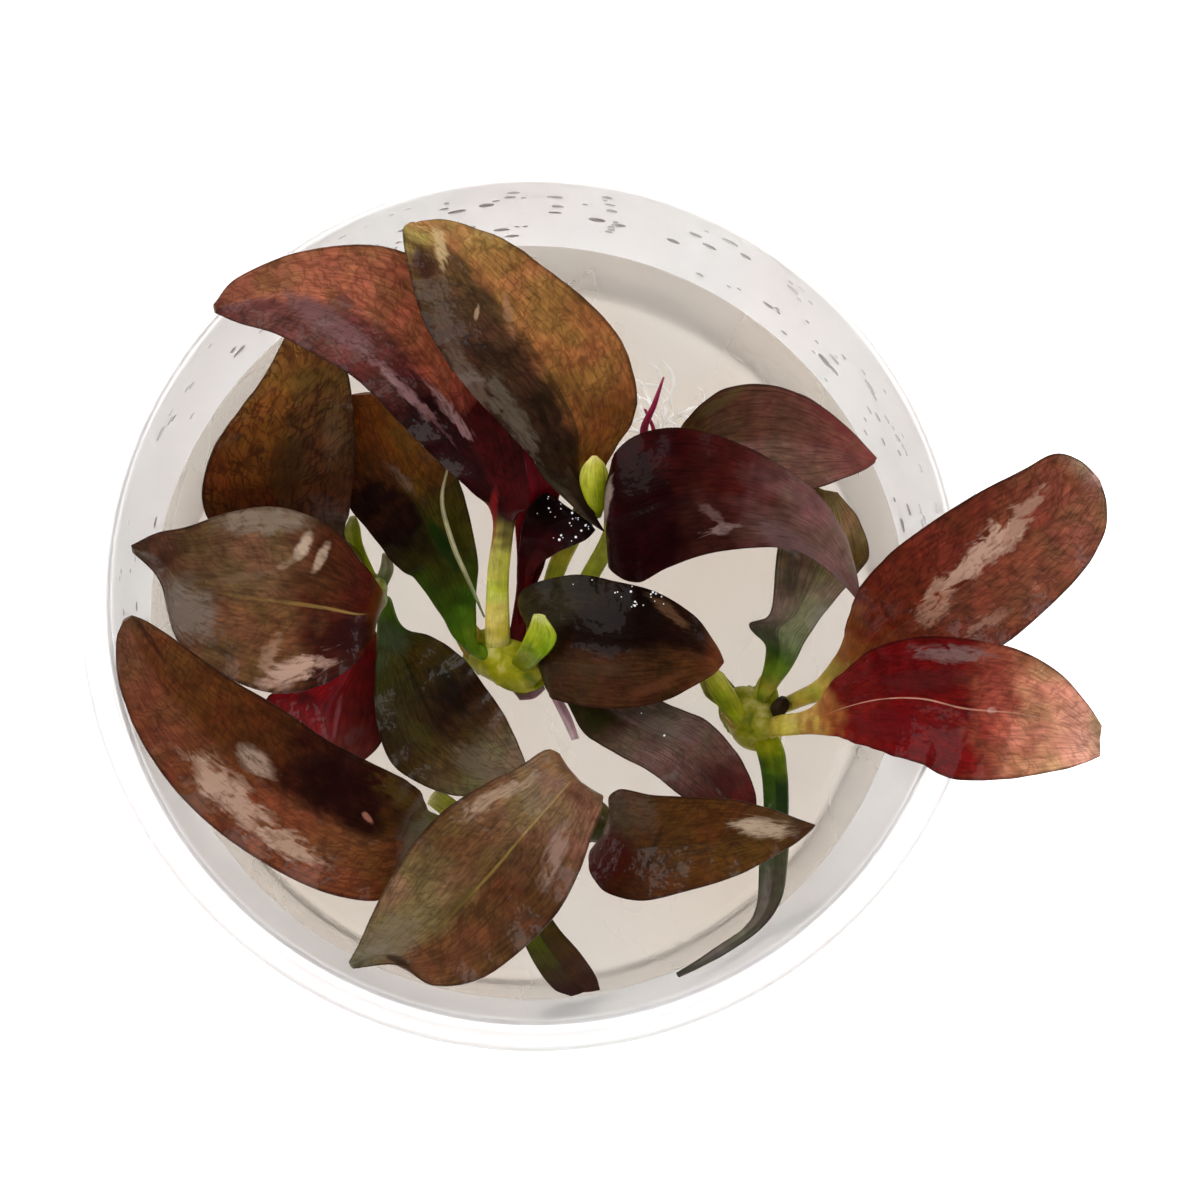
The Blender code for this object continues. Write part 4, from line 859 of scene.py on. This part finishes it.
def leaf_skin(name, look):
    """A leaf's material: colours from stalk to tip with painted sheen on one half, fibres, veins, and patches of
    painted sheen, highlight and shadow among the leaf's own marks.
    """
    paint = Paint(
        name, Specular_IOR_Level=look.get("shine", 0.12), Coat_Weight=look.get("wet", 0.2),
        Coat_Roughness=0.09,
    )
    along, across, _ = paint.split(paint.map_of("blade"))
    length_cm, width_cm, _ = paint.split(paint.map_of("skin"))
    spot = paint.in_object()

    drift = paint.noise(spot, 260.0, 2.0)
    wander = paint.sum("MULTIPLY_ADD", drift, 0.2, -0.1)
    place = paint.sum("ADD", along, wander)
    # The two halves take the near and far colours; the greyer half is painted sheen.
    fold = look.get("fold", 0.5)
    side = paint.fade(paint.sum("ADD", across, wander), fold - 0.08, fold + 0.08)
    colour = paint.mix(side, paint.ramp(place, look["near"]), paint.ramp(place, look["far"]))

    # Redder and greener places, fibres that run from stalk to tip, cloudy light and dark.
    blush = paint.noise(paint.placed(spot, (0.4, 0.2, 0.1)), 210.0, 2.0)
    tint = paint.mix(paint.fade(blush, 0.36, 0.64), (0.92, 1.05, 0.84), (1.09, 0.95, 0.98))
    colour = paint.mix(look.get("blush", 1.0), colour, tint, "MULTIPLY")
    fan = paint.sum("MULTIPLY", across, look.get("fibres", 46.0))
    run = paint.joined(paint.sum("MULTIPLY", length_cm, 4.5), fan)
    fibres = paint.noise(run, 1.0, 3.0)
    clouds = paint.noise(spot, 560.0, 2.0)
    light = paint.sum("MULTIPLY_ADD", fibres, 1.5, 0.28)
    light = paint.sum("MULTIPLY", light, paint.sum("MULTIPLY_ADD", clouds, 1.2, 0.42))
    colour = paint.mix(1.0, colour, paint.joined(light, light, light), "MULTIPLY")

    # Main veins run from stalk to tip, and a net of fine ones leans outwards between them.
    off_rib = paint.sum("ABSOLUTE", paint.sum("SUBTRACT", across, 0.5))
    bent = paint.sum("MULTIPLY_ADD", drift, 0.07, off_rib)
    turns = (2 * look.get("veins", 4) + 0.2) * pi
    waves = paint.sum("ABSOLUTE", paint.sum("SINE", paint.sum("MULTIPLY", bent, turns)))
    long_veins = paint.fade(waves, 0.26, 0.0)
    outward = paint.joined(length_cm, paint.sum("ABSOLUTE", width_cm))
    wobble = paint.put("ShaderNodeTexNoise", {"Vector": outward, "Scale": 9.0, "Detail": 1.0}).outputs[1]
    inputs = {0: wobble, 1: (0.16, 0.16, 0.0), 2: outward}
    slant = paint.put("ShaderNodeVectorMath", inputs, operation="MULTIPLY_ADD").outputs[0]
    cells = paint.placed(slant, turn=radians(34), scale=(0.3, 0.085, 1.0))
    net = paint.put("ShaderNodeTexVoronoi", {"Vector": cells, "Scale": 1.0},
                    feature="DISTANCE_TO_EDGE").outputs["Distance"]
    net_veins = paint.fade(net, 0.17, 0.0)
    blade_from = look.get("blade_from", 0.25)
    past_stalk = paint.fade(along, blade_from, blade_from + 0.12)
    veins = paint.sum("MAXIMUM", paint.sum("MULTIPLY", net_veins, look.get("net", 0.5)),
                      paint.sum("MULTIPLY", long_veins, look.get("long", 0.35)))
    veins = paint.sum("MULTIPLY", veins, past_stalk)
    veins = paint.sum("MULTIPLY", veins, paint.fade(drift, 0.3, 0.55, 0.55, 1.2))
    veins = paint.put("ShaderNodeClamp", {0: veins}).outputs[0]
    colour = paint.mix(veins, colour, VEIN_TINT, "MULTIPLY")

    # The midrib and the thin dark margin.
    rib_colour, rib_share, rib_width = look.get("rib", ((110, 84, 40), 0.5, 0.018))
    rib = paint.sum("MULTIPLY", paint.fade(off_rib, rib_width, rib_width * 0.3), past_stalk)
    rib = paint.sum("MULTIPLY", rib, paint.fade(along, look.get("rib_to", 0.95), 0.35))
    rib = paint.sum("MULTIPLY", rib, paint.fade(fibres, 0.3, 0.5, 0.5, 1.0))
    colour = paint.mix(paint.sum("MULTIPLY", rib, rib_share), colour, shade(*rib_colour))
    margin = paint.sum("MULTIPLY", paint.fade(off_rib, 0.47, 0.497), past_stalk)
    margin = paint.sum("MULTIPLY", margin, 0.6)
    colour = paint.mix(margin, colour, shade(*look.get("margin", (40, 20, 14))))

    # Patches with edges that break up along the fibres, brighter and duller inside. The pale ones
    # are painted sheen and highlights, one dark one is a painted shadow, and the rest are the leaf's own marks.
    torn = paint.joined(paint.sum("MULTIPLY", length_cm, 3.4), paint.sum("MULTIPLY", fan, 0.3))
    ripples = paint.noise(torn, 1.0, 3.0, 1.3)
    ragged = paint.sum("MULTIPLY_ADD", clouds, 0.5, ripples)
    rough = paint.sum("MULTIPLY_ADD", fibres, 0.3, look.get("rough", 0.3))
    cover = paint.sum("MULTIPLY_ADD", fibres, 1.5, 0.05)
    cover = paint.sum("MULTIPLY", cover, paint.fade(ripples, 0.3, 0.6, 0.6, 1.6))
    cover = paint.sum("MULTIPLY", cover, paint.sum("MULTIPLY_ADD", veins, -0.7, 1.0))
    for x, y, long, wide, turn, mark_sheen_shadow_colour, share, tear in look.get("patches", ()):
        spread = (long / 2 * MM, wide / 2 * MM, 1.0)
        oval = paint.placed(spot, (x * MM, y * MM, 0.0), radians(turn), spread)
        reach = paint.put("ShaderNodeVectorMath", {0: oval}, operation="LENGTH").outputs[1]
        reach = paint.sum("ADD", reach, paint.sum("MULTIPLY_ADD", ragged, tear * 4, -tear * 3))
        inside = paint.sum("MULTIPLY", paint.fade(reach, 1.25, 0.4), cover)
        inside = paint.put("ShaderNodeClamp", {0: paint.sum("MULTIPLY", inside, 1.25)}).outputs[0]
        colour = paint.mix(paint.sum("MULTIPLY", inside, share), colour, shade(*mark_sheen_shadow_colour))

    fine = paint.put("ShaderNodeBump", {"Height": fibres, "Strength": 0.3, "Distance": 0.0002})
    film = paint.put("ShaderNodeBump", {"Height": clouds, "Strength": 0.5, "Distance": 0.0005})
    paint.feed(paint.shader.inputs["Base Color"], colour)
    paint.feed(paint.shader.inputs["Roughness"], rough)
    paint.feed(paint.shader.inputs["Normal"], fine.outputs[0])
    paint.feed(paint.shader.inputs["Coat Normal"], film.outputs[0])
    return paint.material


def object_from(name, bm, look):
    """Turns a bmesh into a named, smooth-shaded object with the given material."""
    mesh = bpy.data.meshes.new(name)
    bm.to_mesh(mesh)
    bm.free()
    mesh.materials.append(look)
    mesh.polygons.foreach_set("use_smooth", [True] * len(mesh.polygons))
    obj = bpy.data.objects.new(name, mesh)
    bpy.context.scene.collection.objects.link(obj)
    return obj


def wall_radius(z):
    """Inside radius of the cup's wall at height z."""
    return WALL_RADIUS_AT_STEP - WALL_SLOPE * (STEP_Z - z)


def seen(x, y, z):
    """The point at height z that looks, from EYE, to be at x, y level with the rim."""
    slide = (EYE.z - z) / (EYE.z - RIM_Z)
    seen_x = EYE.x + (x - EYE.x) * slide + READING_SHIFT.x
    seen_y = EYE.y + (y - EYE.y) * slide + READING_SHIFT.y
    return Vector((seen_x, seen_y, z))


def through(values, where):
    """A smooth curve through equally spaced values, read at a position from 0 to 1."""
    last = len(values) - 1
    place = where * last
    step = min(int(place), last - 1)
    t = place - step
    before = values[step - 1] if step else 2 * values[0] - values[1]
    start, end = values[step], values[step + 1]
    after = values[step + 2] if step + 2 <= last else 2 * values[last] - values[last - 1]
    bend = 2 * before - 5 * start + 4 * end - after
    twist = 3 * (start - end) + after - before
    return start + 0.5 * t * (end - before + t * (bend + t * twist))


def rooted(rows):
    """The rows with one more in front of them, inside the nearest crown."""
    x_a, y_a, _, x_b, y_b, _, dip = rows[0]
    x, y = (x_a + x_b) / 2, (y_a + y_b) / 2
    crown = min(CROWNS.values(), key=lambda spot: hypot(spot[0] - x, spot[1] - y))
    share = 0.8 if hypot(crown[0] - x, crown[1] - y) > 3 else 0.15
    x, y = x + share * (crown[0] - x), y + share * (crown[1] - y)
    half_x, half_y = 0.35 * (x_b - x_a), 0.35 * (y_b - y_a)
    z = CROWN_BASE + 0.3 * crown[4]
    return ((x - half_x, y - half_y, z, x + half_x, y + half_y, z, dip), *rows)


def outline_of(rows):
    """A leaf's rows as points where they really are: both edges, the middle and the dips."""
    edge_a = [seen(*row[0:3]) for row in rows]
    edge_b = [seen(*row[3:6]) for row in rows]
    middle = [(a + b) / 2 for a, b in zip(edge_a, edge_b)]
    return edge_a, edge_b, middle, [row[6] for row in rows]


def on_leaf(outline, along, across):
    """The point of a leaf's sheet, in millimetres, the way up there and how wide it is."""
    edge_a, edge_b, middle, dips = outline
    a = through(edge_a, along)
    b = through(edge_b, along)
    ahead = through(middle, min(along + 0.02, 1.0))
    behind = through(middle, max(along - 0.02, 0.0))
    up = (b - a).cross(ahead - behind).normalized()
    dip = through(dips, along) * (1 - across * across)
    return (a + b) / 2 + (b - a) * (across / 2) - up * dip, up, (b - a).length


def blade(name, stalk_thickness, rows, look, rings=LEAF_RINGS, strips=LEAF_STRIPS, wave=0.22,
          root=0):
    """A leaf with its stalk: a grid bent through its rows, then given a thickness.

    root is 1 where the first row lies inside a crown, so that colours start at the second.
    """
    outline = outline_of(rows)
    middle = outline[2]
    last = len(rows) - 1
    travelled = [0.0]
    for ring in range(1, 201):
        step = through(middle, ring / 200) - through(middle, (ring - 1) / 200)
        travelled.append(travelled[-1] + step.length)
    bm = bmesh.new()
    plan = bm.loops.layers.uv.new("blade")
    skin = bm.loops.layers.uv.new("skin")
    bmesh.ops.create_grid(bm, x_segments=rings, y_segments=strips, size=1.0)
    for edge in bm.edges:
        edge.smooth = not edge.is_boundary
    weights = bm.verts.layers.deform.verify()
    phase = len(name) + rows[0][0]
    laid = {}
    for vert in bm.verts:
        along = min(1.0, max(0.0, (vert.co.x + 1) / 2))
        across = vert.co.y
        point, up, width = on_leaf(outline, along, across)
        run = travelled[round(along * 200)]
        slim = min(1.0, max(0.0, (7.0 - width) / 4.0)) * (1 - along)
        groove = 0.14 * (1 - slim) * exp(-((across * width / 1.1) ** 2))
        flutter = sin(run * 0.9 + phase + 1.7 * across) + 0.6 * sin(run * 2.1 + 2 * phase)
        flutter *= wave * across * across * min(1.0, width / 8) * min(1.0, 6 * (1 - along))
        vert.co = (point - up * (groove - flutter)) * MM
        thickness = BLADE_THICKNESS + (stalk_thickness - BLADE_THICKNESS) * slim
        rounded = sqrt(1 - 0.93 * across * across)
        vert[weights][0] = min(1.0, thickness / stalk_thickness * rounded)
        shown = max(0.0, (along * last - root) / (last - root))
        laid[vert] = (shown, across, run, width)
    for face in bm.faces:
        for loop in face.loops:
            along, across, run, width = laid[loop.vert]
            loop[plan].uv = (along, (across + 1) / 2)
            loop[skin].uv = (run / 10, across * width / 20)
    obj = object_from(name, bm, look)
    obj.vertex_groups.new(name="thickness")
    solid = obj.modifiers.new("Thickness", "SOLIDIFY")
    solid.thickness = stalk_thickness * MM
    solid.offset = 0.0
    solid.vertex_group = "thickness"
    return obj


def threads(name, paths, radius, look):
    """Fine threads: each a grid rolled into a tube along its path of points, in millimetres."""
    bm = bmesh.new()
    for path in paths:
        made = bmesh.ops.create_grid(bm, x_segments=4 * len(path), y_segments=6, size=1.0)
        for vert in made["verts"]:
            along = min(1.0, max(0.0, (vert.co.x + 1) / 2))
            ahead = through(path, min(along + 0.01, 1.0)) - through(path, max(along - 0.01, 0.0))
            side = ahead.cross(Vector((0.3, 0.2, 1.0))).normalized()
            lift = side.cross(ahead).normalized()
            angle = vert.co.y * pi
            reach = radius * sqrt(max(0.0, 1 - (2 * along - 1) ** 6))
            offset = side * (cos(angle) * reach) + lift * (sin(angle) * reach)
            vert.co = (through(path, along) + offset) * MM
    bmesh.ops.remove_doubles(bm, verts=bm.verts[:], dist=0.000002)
    bmesh.ops.recalc_face_normals(bm, faces=bm.faces[:])
    return object_from(name, bm, look)


def beads(name, places, look):
    """Small drops: each a ball at a point, turned so that z lies along up, and stretched."""
    bm = bmesh.new()
    for point, up, sizes in places:
        turn = up.to_track_quat("Z", "Y").to_matrix().to_4x4()
        stretch = Matrix.Diagonal((*(size * MM for size in sizes), 1.0))
        put = Matrix.Translation(point * MM) @ turn @ stretch
        bmesh.ops.create_uvsphere(bm, u_segments=10, v_segments=6, radius=1.0, matrix=put)
    return object_from(name, bm, look)


def turned(name, profile, look, roundness):
    """A closed body turned from (radius, height) points, with its corners rounded."""
    bm = bmesh.new()
    verts = [bm.verts.new((r * MM, 0.0, z * MM)) for r, z in profile]
    edges = [bm.edges.new(pair) for pair in zip(verts, verts[1:])]
    bmesh.ops.spin(
        bm, geom=verts + edges, cent=(0, 0, 0), axis=(0, 0, 1), dvec=(0, 0, 0),
        angle=tau, steps=CUP_STEPS, use_merge=True, use_duplicate=False,
    )
    bmesh.ops.remove_doubles(bm, verts=bm.verts[:], dist=0.000001)
    bmesh.ops.recalc_face_normals(bm, faces=bm.faces[:])
    obj = object_from(name, bm, look)
    bevel = obj.modifiers.new("Rounding", "BEVEL")
    bevel.width = roundness * MM
    bevel.segments = 3
    bevel.limit_method = "ANGLE"
    bevel.angle_limit = radians(25)
    bevel.harden_normals = True
    return obj


def crown_heart(name, x, y, length, width, height, turn, look):
    """The swollen heart of a plantlet, where its stalks meet."""
    bm = bmesh.new()
    bmesh.ops.create_uvsphere(bm, u_segments=72, v_segments=36, radius=1.0)
    centre = seen(x, y, CROWN_BASE + height / 2)
    angle = radians(turn)
    for vert in bm.verts:
        around = vert.co.copy()
        wrap = (atan2(around.y, around.x) / tau * 3 + around.z * 0.8 + len(name) * 0.3) % 1
        lump = 0.95 + 0.13 * wrap ** 3 + 0.04 * sin(5 * around.x + 2 * around.z)
        px = around.x * length * lump
        py = around.y * width * lump
        vert.co = (
            (centre.x + px * cos(angle) - py * sin(angle)) * MM,
            (centre.y + px * sin(angle) + py * cos(angle)) * MM,
            (centre.z + around.z * height / 2) * MM,
        )
    return object_from(name, bm, look)


def crown_skin(name, shades):
    """Fresh plant tissue, clouded between the given shades and faintly ribbed."""
    paint = Paint(
        name, roughness=0.4, Coat_Weight=0.2, Coat_Roughness=0.1, Specular_IOR_Level=0.2,
    )
    spot = paint.in_object()
    clouds = paint.noise(paint.placed(spot, scale=(1.0, 1.0, 2.5)), 620.0, 4.0, 0.6)
    colour = paint.ramp(clouds, tuple(zip((0.3, 0.45, 0.58, 0.75), shades)))
    bump = paint.put("ShaderNodeBump", {"Height": clouds, "Strength": 0.5, "Distance": 0.0004})
    paint.feed(paint.shader.inputs["Base Color"], colour)
    paint.feed(paint.shader.inputs["Normal"], bump.outputs[0])
    return paint.material


def cup_plastic():
    """Milky moulded plastic, a little cloudy, with faint upright flow marks in the wall."""
    paint = Paint(
        "cup_plastic", Transmission_Weight=0.78, IOR=1.3, Coat_Weight=0.5, Coat_Roughness=0.06,
    )
    spot = paint.in_object()
    clouds = paint.noise(paint.placed(spot, scale=(1.0, 1.0, 4.0)), 60.0, 3.0)
    colour = paint.mix(paint.fade(clouds, 0.35, 0.65), (0.99, 0.955, 0.945), (0.985, 0.975, 0.965))
    paint.feed(paint.shader.inputs["Base Color"], colour)
    paint.feed(paint.shader.inputs["Roughness"], paint.fade(clouds, 0.3, 0.7, 0.34, 0.46))
    return paint.material


def growing_gel():
    """Pale cloudy gel with a wet top."""
    paint = Paint(
        "growing_gel", Transmission_Weight=0.88, IOR=1.1, Coat_Weight=0.4, Coat_Roughness=0.14,
    )
    spot = paint.in_object()
    clouds = paint.noise(paint.placed(spot, scale=(1.0, 2.2, 1.0)), 45.0, 4.0, 0.8)
    colour = paint.mix(paint.fade(clouds, 0.35, 0.65), (0.935, 0.845, 0.745), (0.96, 0.9, 0.825))
    ripples = paint.noise(spot, 90.0, 2.0)
    bump = paint.put("ShaderNodeBump", {"Height": ripples, "Strength": 0.3, "Distance": 0.0006})
    paint.feed(paint.shader.inputs["Base Color"], colour)
    paint.feed(paint.shader.inputs["Roughness"], paint.fade(clouds, 0.3, 0.7, 0.22, 0.34))
    paint.feed(paint.shader.inputs["Coat Normal"], bump.outputs[0])
    return paint.material


def clear_water():
    """Flat drops that only dull the wall behind them a little."""
    paint = Paint("clear_water", roughness=0.5, Transmission_Weight=0.3, IOR=1.06)
    clouds = paint.noise(paint.in_object(), 420.0, 2.0)
    colour = paint.mix(paint.fade(clouds, 0.35, 0.65), (0.78, 0.74, 0.74), (0.94, 0.92, 0.92))
    paint.feed(paint.shader.inputs["Base Color"], colour)
    return paint.material


def painted_glint_water():
    """Beads so small that they show only as a white glint: a painted highlight, white with a faint glow though they are
    no lamp.
    """
    paint = Paint("painted_glint_water", roughness=0.08, Emission_Strength=0.25)
    clouds = paint.noise(paint.in_object(), 900.0, 1.0)
    colour = paint.mix(clouds, (0.75, 0.78, 0.82), (1.0, 1.0, 1.0))
    paint.feed(paint.shader.inputs["Base Color"], colour)
    paint.feed(paint.shader.inputs["Emission Color"], colour)
    return paint.material


# White roots that also glow faintly, though they are no lamp: painted light.
def glowing_root_skin():
    paint = Paint("root_white", roughness=0.5, Emission_Strength=0.3)
    clouds = paint.noise(paint.in_object(), 700.0, 3.0)
    colour = paint.ramp(clouds, ((0.35, (226, 218, 208)), (0.6, (252, 250, 246))))
    paint.feed(paint.shader.inputs["Base Color"], colour)
    paint.feed(paint.shader.inputs["Emission Color"], colour)
    return paint.material


def light_box(name, spot, aim, size, power, tint=(1.0, 1.0, 1.0)):
    """A soft square light at spot, turned to aim, both in metres."""
    lamp = bpy.data.lights.new(name, "AREA")
    lamp.shape = "RECTANGLE"
    lamp.size, lamp.size_y = size
    lamp.energy = power
    lamp.color = tint
    obj = bpy.data.objects.new(name, lamp)
    bpy.context.scene.collection.objects.link(obj)
    turn = (Vector(aim) - Vector(spot)).to_track_quat("-Z", "Y").to_matrix().to_4x4()
    obj.matrix_world = Matrix.Translation(spot) @ turn
    return obj


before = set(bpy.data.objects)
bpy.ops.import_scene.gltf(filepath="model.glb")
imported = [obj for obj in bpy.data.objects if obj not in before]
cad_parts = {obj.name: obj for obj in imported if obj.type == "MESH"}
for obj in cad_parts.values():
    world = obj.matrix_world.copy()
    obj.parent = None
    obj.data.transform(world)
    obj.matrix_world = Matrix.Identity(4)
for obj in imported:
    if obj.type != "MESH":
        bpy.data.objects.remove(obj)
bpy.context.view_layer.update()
scene = bpy.context.scene
scene.view_settings.view_transform = "Standard"
scene.cycles.max_bounces = 6
scene.cycles.diffuse_bounces = 2
scene.cycles.glossy_bounces = 2
scene.cycles.transmission_bounces = 5

cup = turned("cup_shell", (
    (0.0, FLOOR_THICKNESS),
    (40.4, FLOOR_THICKNESS),
    (41.6, FLOOR_THICKNESS + 0.6),
    (wall_radius(3.4), 3.4),
    (WALL_RADIUS_AT_STEP, STEP_Z),
    (46.6, 50.2),
    (LIP_RADIUS - 0.1, 50.6),
    (LIP_RADIUS, 51.6),
    (LIP_RADIUS + 0.4, RIM_Z),
    (RIM_RADIUS - 0.4, RIM_Z),
    (RIM_RADIUS, 51.6),
    (RIM_RADIUS, 49.4),
    (RIM_RADIUS - 1.6, 48.9),
    (WALL_RADIUS_AT_STEP + WALL_THICKNESS + 0.2, 48.0),
    (wall_radius(2.0) + WALL_THICKNESS, 2.0),
    (wall_radius(0.6) + 0.4, 0.5),
    (41.4, 0.0),
    (0.0, 0.0),
), cup_plastic(), 0.25)
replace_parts(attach(cup, "root"), "cup")

gel = turned("gel_body", (
    (0.0, GEL_TOP),
    (wall_radius(GEL_TOP) - 1.2, GEL_TOP),
    (wall_radius(GEL_TOP) - 0.1, GEL_TOP + 0.25),
    (wall_radius(3.9) - 0.1, 3.9),
    (41.2, FLOOR_THICKNESS + GAP + 0.7),
    (40.2, FLOOR_THICKNESS + GAP),
    (0.0, FLOOR_THICKNESS + GAP),
), growing_gel(), 0.2)
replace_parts(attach(gel, "root"), "gel")

fresh = crown_skin("crown_green", ((112, 124, 0), (152, 150, 4), (178, 170, 30), (208, 196, 100)))
pale = crown_skin("crown_pale", ((112, 118, 6), (152, 148, 30), (184, 174, 76), (208, 198, 120)))
# crown_shaded, a darker copy of the crown skin for the two front crowns, is painted shade from the leaves over them.
shaded = crown_skin("crown_shaded", ((40, 42, 8), (60, 56, 14), (76, 66, 24), (92, 80, 40)))
for node, numbers in CROWNS.items():
    skin = shaded if "front" in node else pale if node == "crown_right" else fresh
    heart = crown_heart(f"{node}_heart", *numbers, skin)
    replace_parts(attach(heart, "root"), node)

for node, (stalk_thickness, rows) in LEAVES.items():
    skin = leaf_skin(f"{node}_skin", LOOKS[node])
    piece = blade(f"{node}_blade", stalk_thickness, rooted(rows), skin, root=1)
    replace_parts(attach(piece, "root"), node)

sheath_skins = {key: leaf_skin(key, look) for key, look in SHEATH_LOOKS.items()}
for name, (thickness, key, rows) in SHEATHS.items():
    piece = blade(name, thickness, rows, sheath_skins[key], rings=24, strips=10, wave=0.08)
    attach(piece, "root")

# Roots that curl over the gel behind the plantlet at the back.
chance = Random(7)
paths = []
for root in range(22):
    spot = Vector((14.2 + chance.uniform(-1.2, 1.2), 19.6 + chance.uniform(0, 1.6), 24.9))
    heading = chance.uniform(0.1, 0.66) * pi
    path = [spot]
    for step in range(11):
        heading += chance.uniform(-0.75, 0.75)
        spot = spot + Vector((cos(heading), sin(heading), 0)) * chance.uniform(0.75, 1.3)
        path.append(Vector((spot.x, spot.y, 24.6 + chance.uniform(0, 1.3))))
    paths.append(path)
roots = threads("roots", paths, 0.19, glowing_root_skin())
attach(roots, "root")

# Drops that have settled on the wall above the gel.
water = clear_water()
places = []
for drop in range(150):
    turn = radians(chance.uniform(0, 125) if drop % 5 else chance.uniform(125, 190))
    z = 26.5 + 20.5 * chance.random() ** 0.8
    width = 0.3 + 0.8 * chance.random() ** 2
    radius = wall_radius(z) - 0.1
    inwards = Vector((-cos(turn), -sin(turn), 0.1))
    spot = Vector((cos(turn) * radius, sin(turn) * radius, z))
    places.append((spot, inwards, (width, width * chance.uniform(0.5, 0.9), 0.07)))
wall_drops = beads("wall_drops", places, water)
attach(wall_drops, "root")

# Fine beads of water on the dark leaves in the middle, given a painted white glint that glows.
places = []
for node, starts, ends, sides, count in (
    ("short_dark_leaf", 0.5, 0.96, (-0.9, 0.9), 26),
    ("centre_leaf", 0.28, 0.6, (-0.98, -0.7), 16),
    ("centre_leaf", 0.46, 0.54, (-0.72, -0.62), 5),
    ("lower_centre_leaf", 0.3, 0.5, (-0.7, 0.2), 2),
):
    outline = outline_of(LEAVES[node][1])
    for _ in range(count):
        point, up, _ = on_leaf(outline, chance.uniform(starts, ends), chance.uniform(*sides))
        size = 0.06 + 0.14 * chance.random() ** 3
        places.append((point + up * (0.26 + size * 0.3), up, (size, size, size * 0.8)))
leaf_beads = beads("leaf_beads", places, painted_glint_water())
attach(leaf_beads, "root")

floor_mesh = bmesh.new()
bmesh.ops.create_grid(floor_mesh, x_segments=2, y_segments=2, size=3.0)
floor_paint = Paint(
    "floor_paper", roughness=0.9, Base_Color=(0.8, 0.8, 0.8, 1.0),
    Emission_Color=(1.0, 1.0, 1.0, 1.0), Emission_Strength=1.12,
)
floor = object_from("floor", floor_mesh, floor_paint.material)
floor.location = (0, 0, -0.0001)

world = bpy.data.worlds.new("studio")
scene.world = world
world.use_nodes = True
sky = world.node_tree
world.cycles_visibility.glossy = False
sky.nodes["Background"].inputs["Color"].default_value = (1.0, 1.0, 1.0, 1.0)
sky.nodes["Background"].inputs["Strength"].default_value = 0.72

light_box("light_left", (-0.55, 0.25, 0.55), (0, 0, 0.04), (0.5, 0.5), 2.8)
light_box("light_right", (0.5, 0.35, 0.5), (0, 0, 0.04), (0.35, 0.5), 1.6)

eye = bpy.data.cameras.new("camera")
eye.lens = 136.65
eye.sensor_width = 36.0
eye.clip_start = 0.02
eye.clip_end = 50.0
camera = bpy.data.objects.new("camera", eye)
scene.collection.objects.link(camera)
camera.matrix_world = Matrix((
    (0.999391, -0.003642, -0.034710, -0.01026),
    (0.0, 0.994539, -0.104367, -0.05285),
    (0.034901, 0.104303, 0.993933, 0.54918),
    (0.0, 0.0, 0.0, 1.0),
))
scene.camera = camera
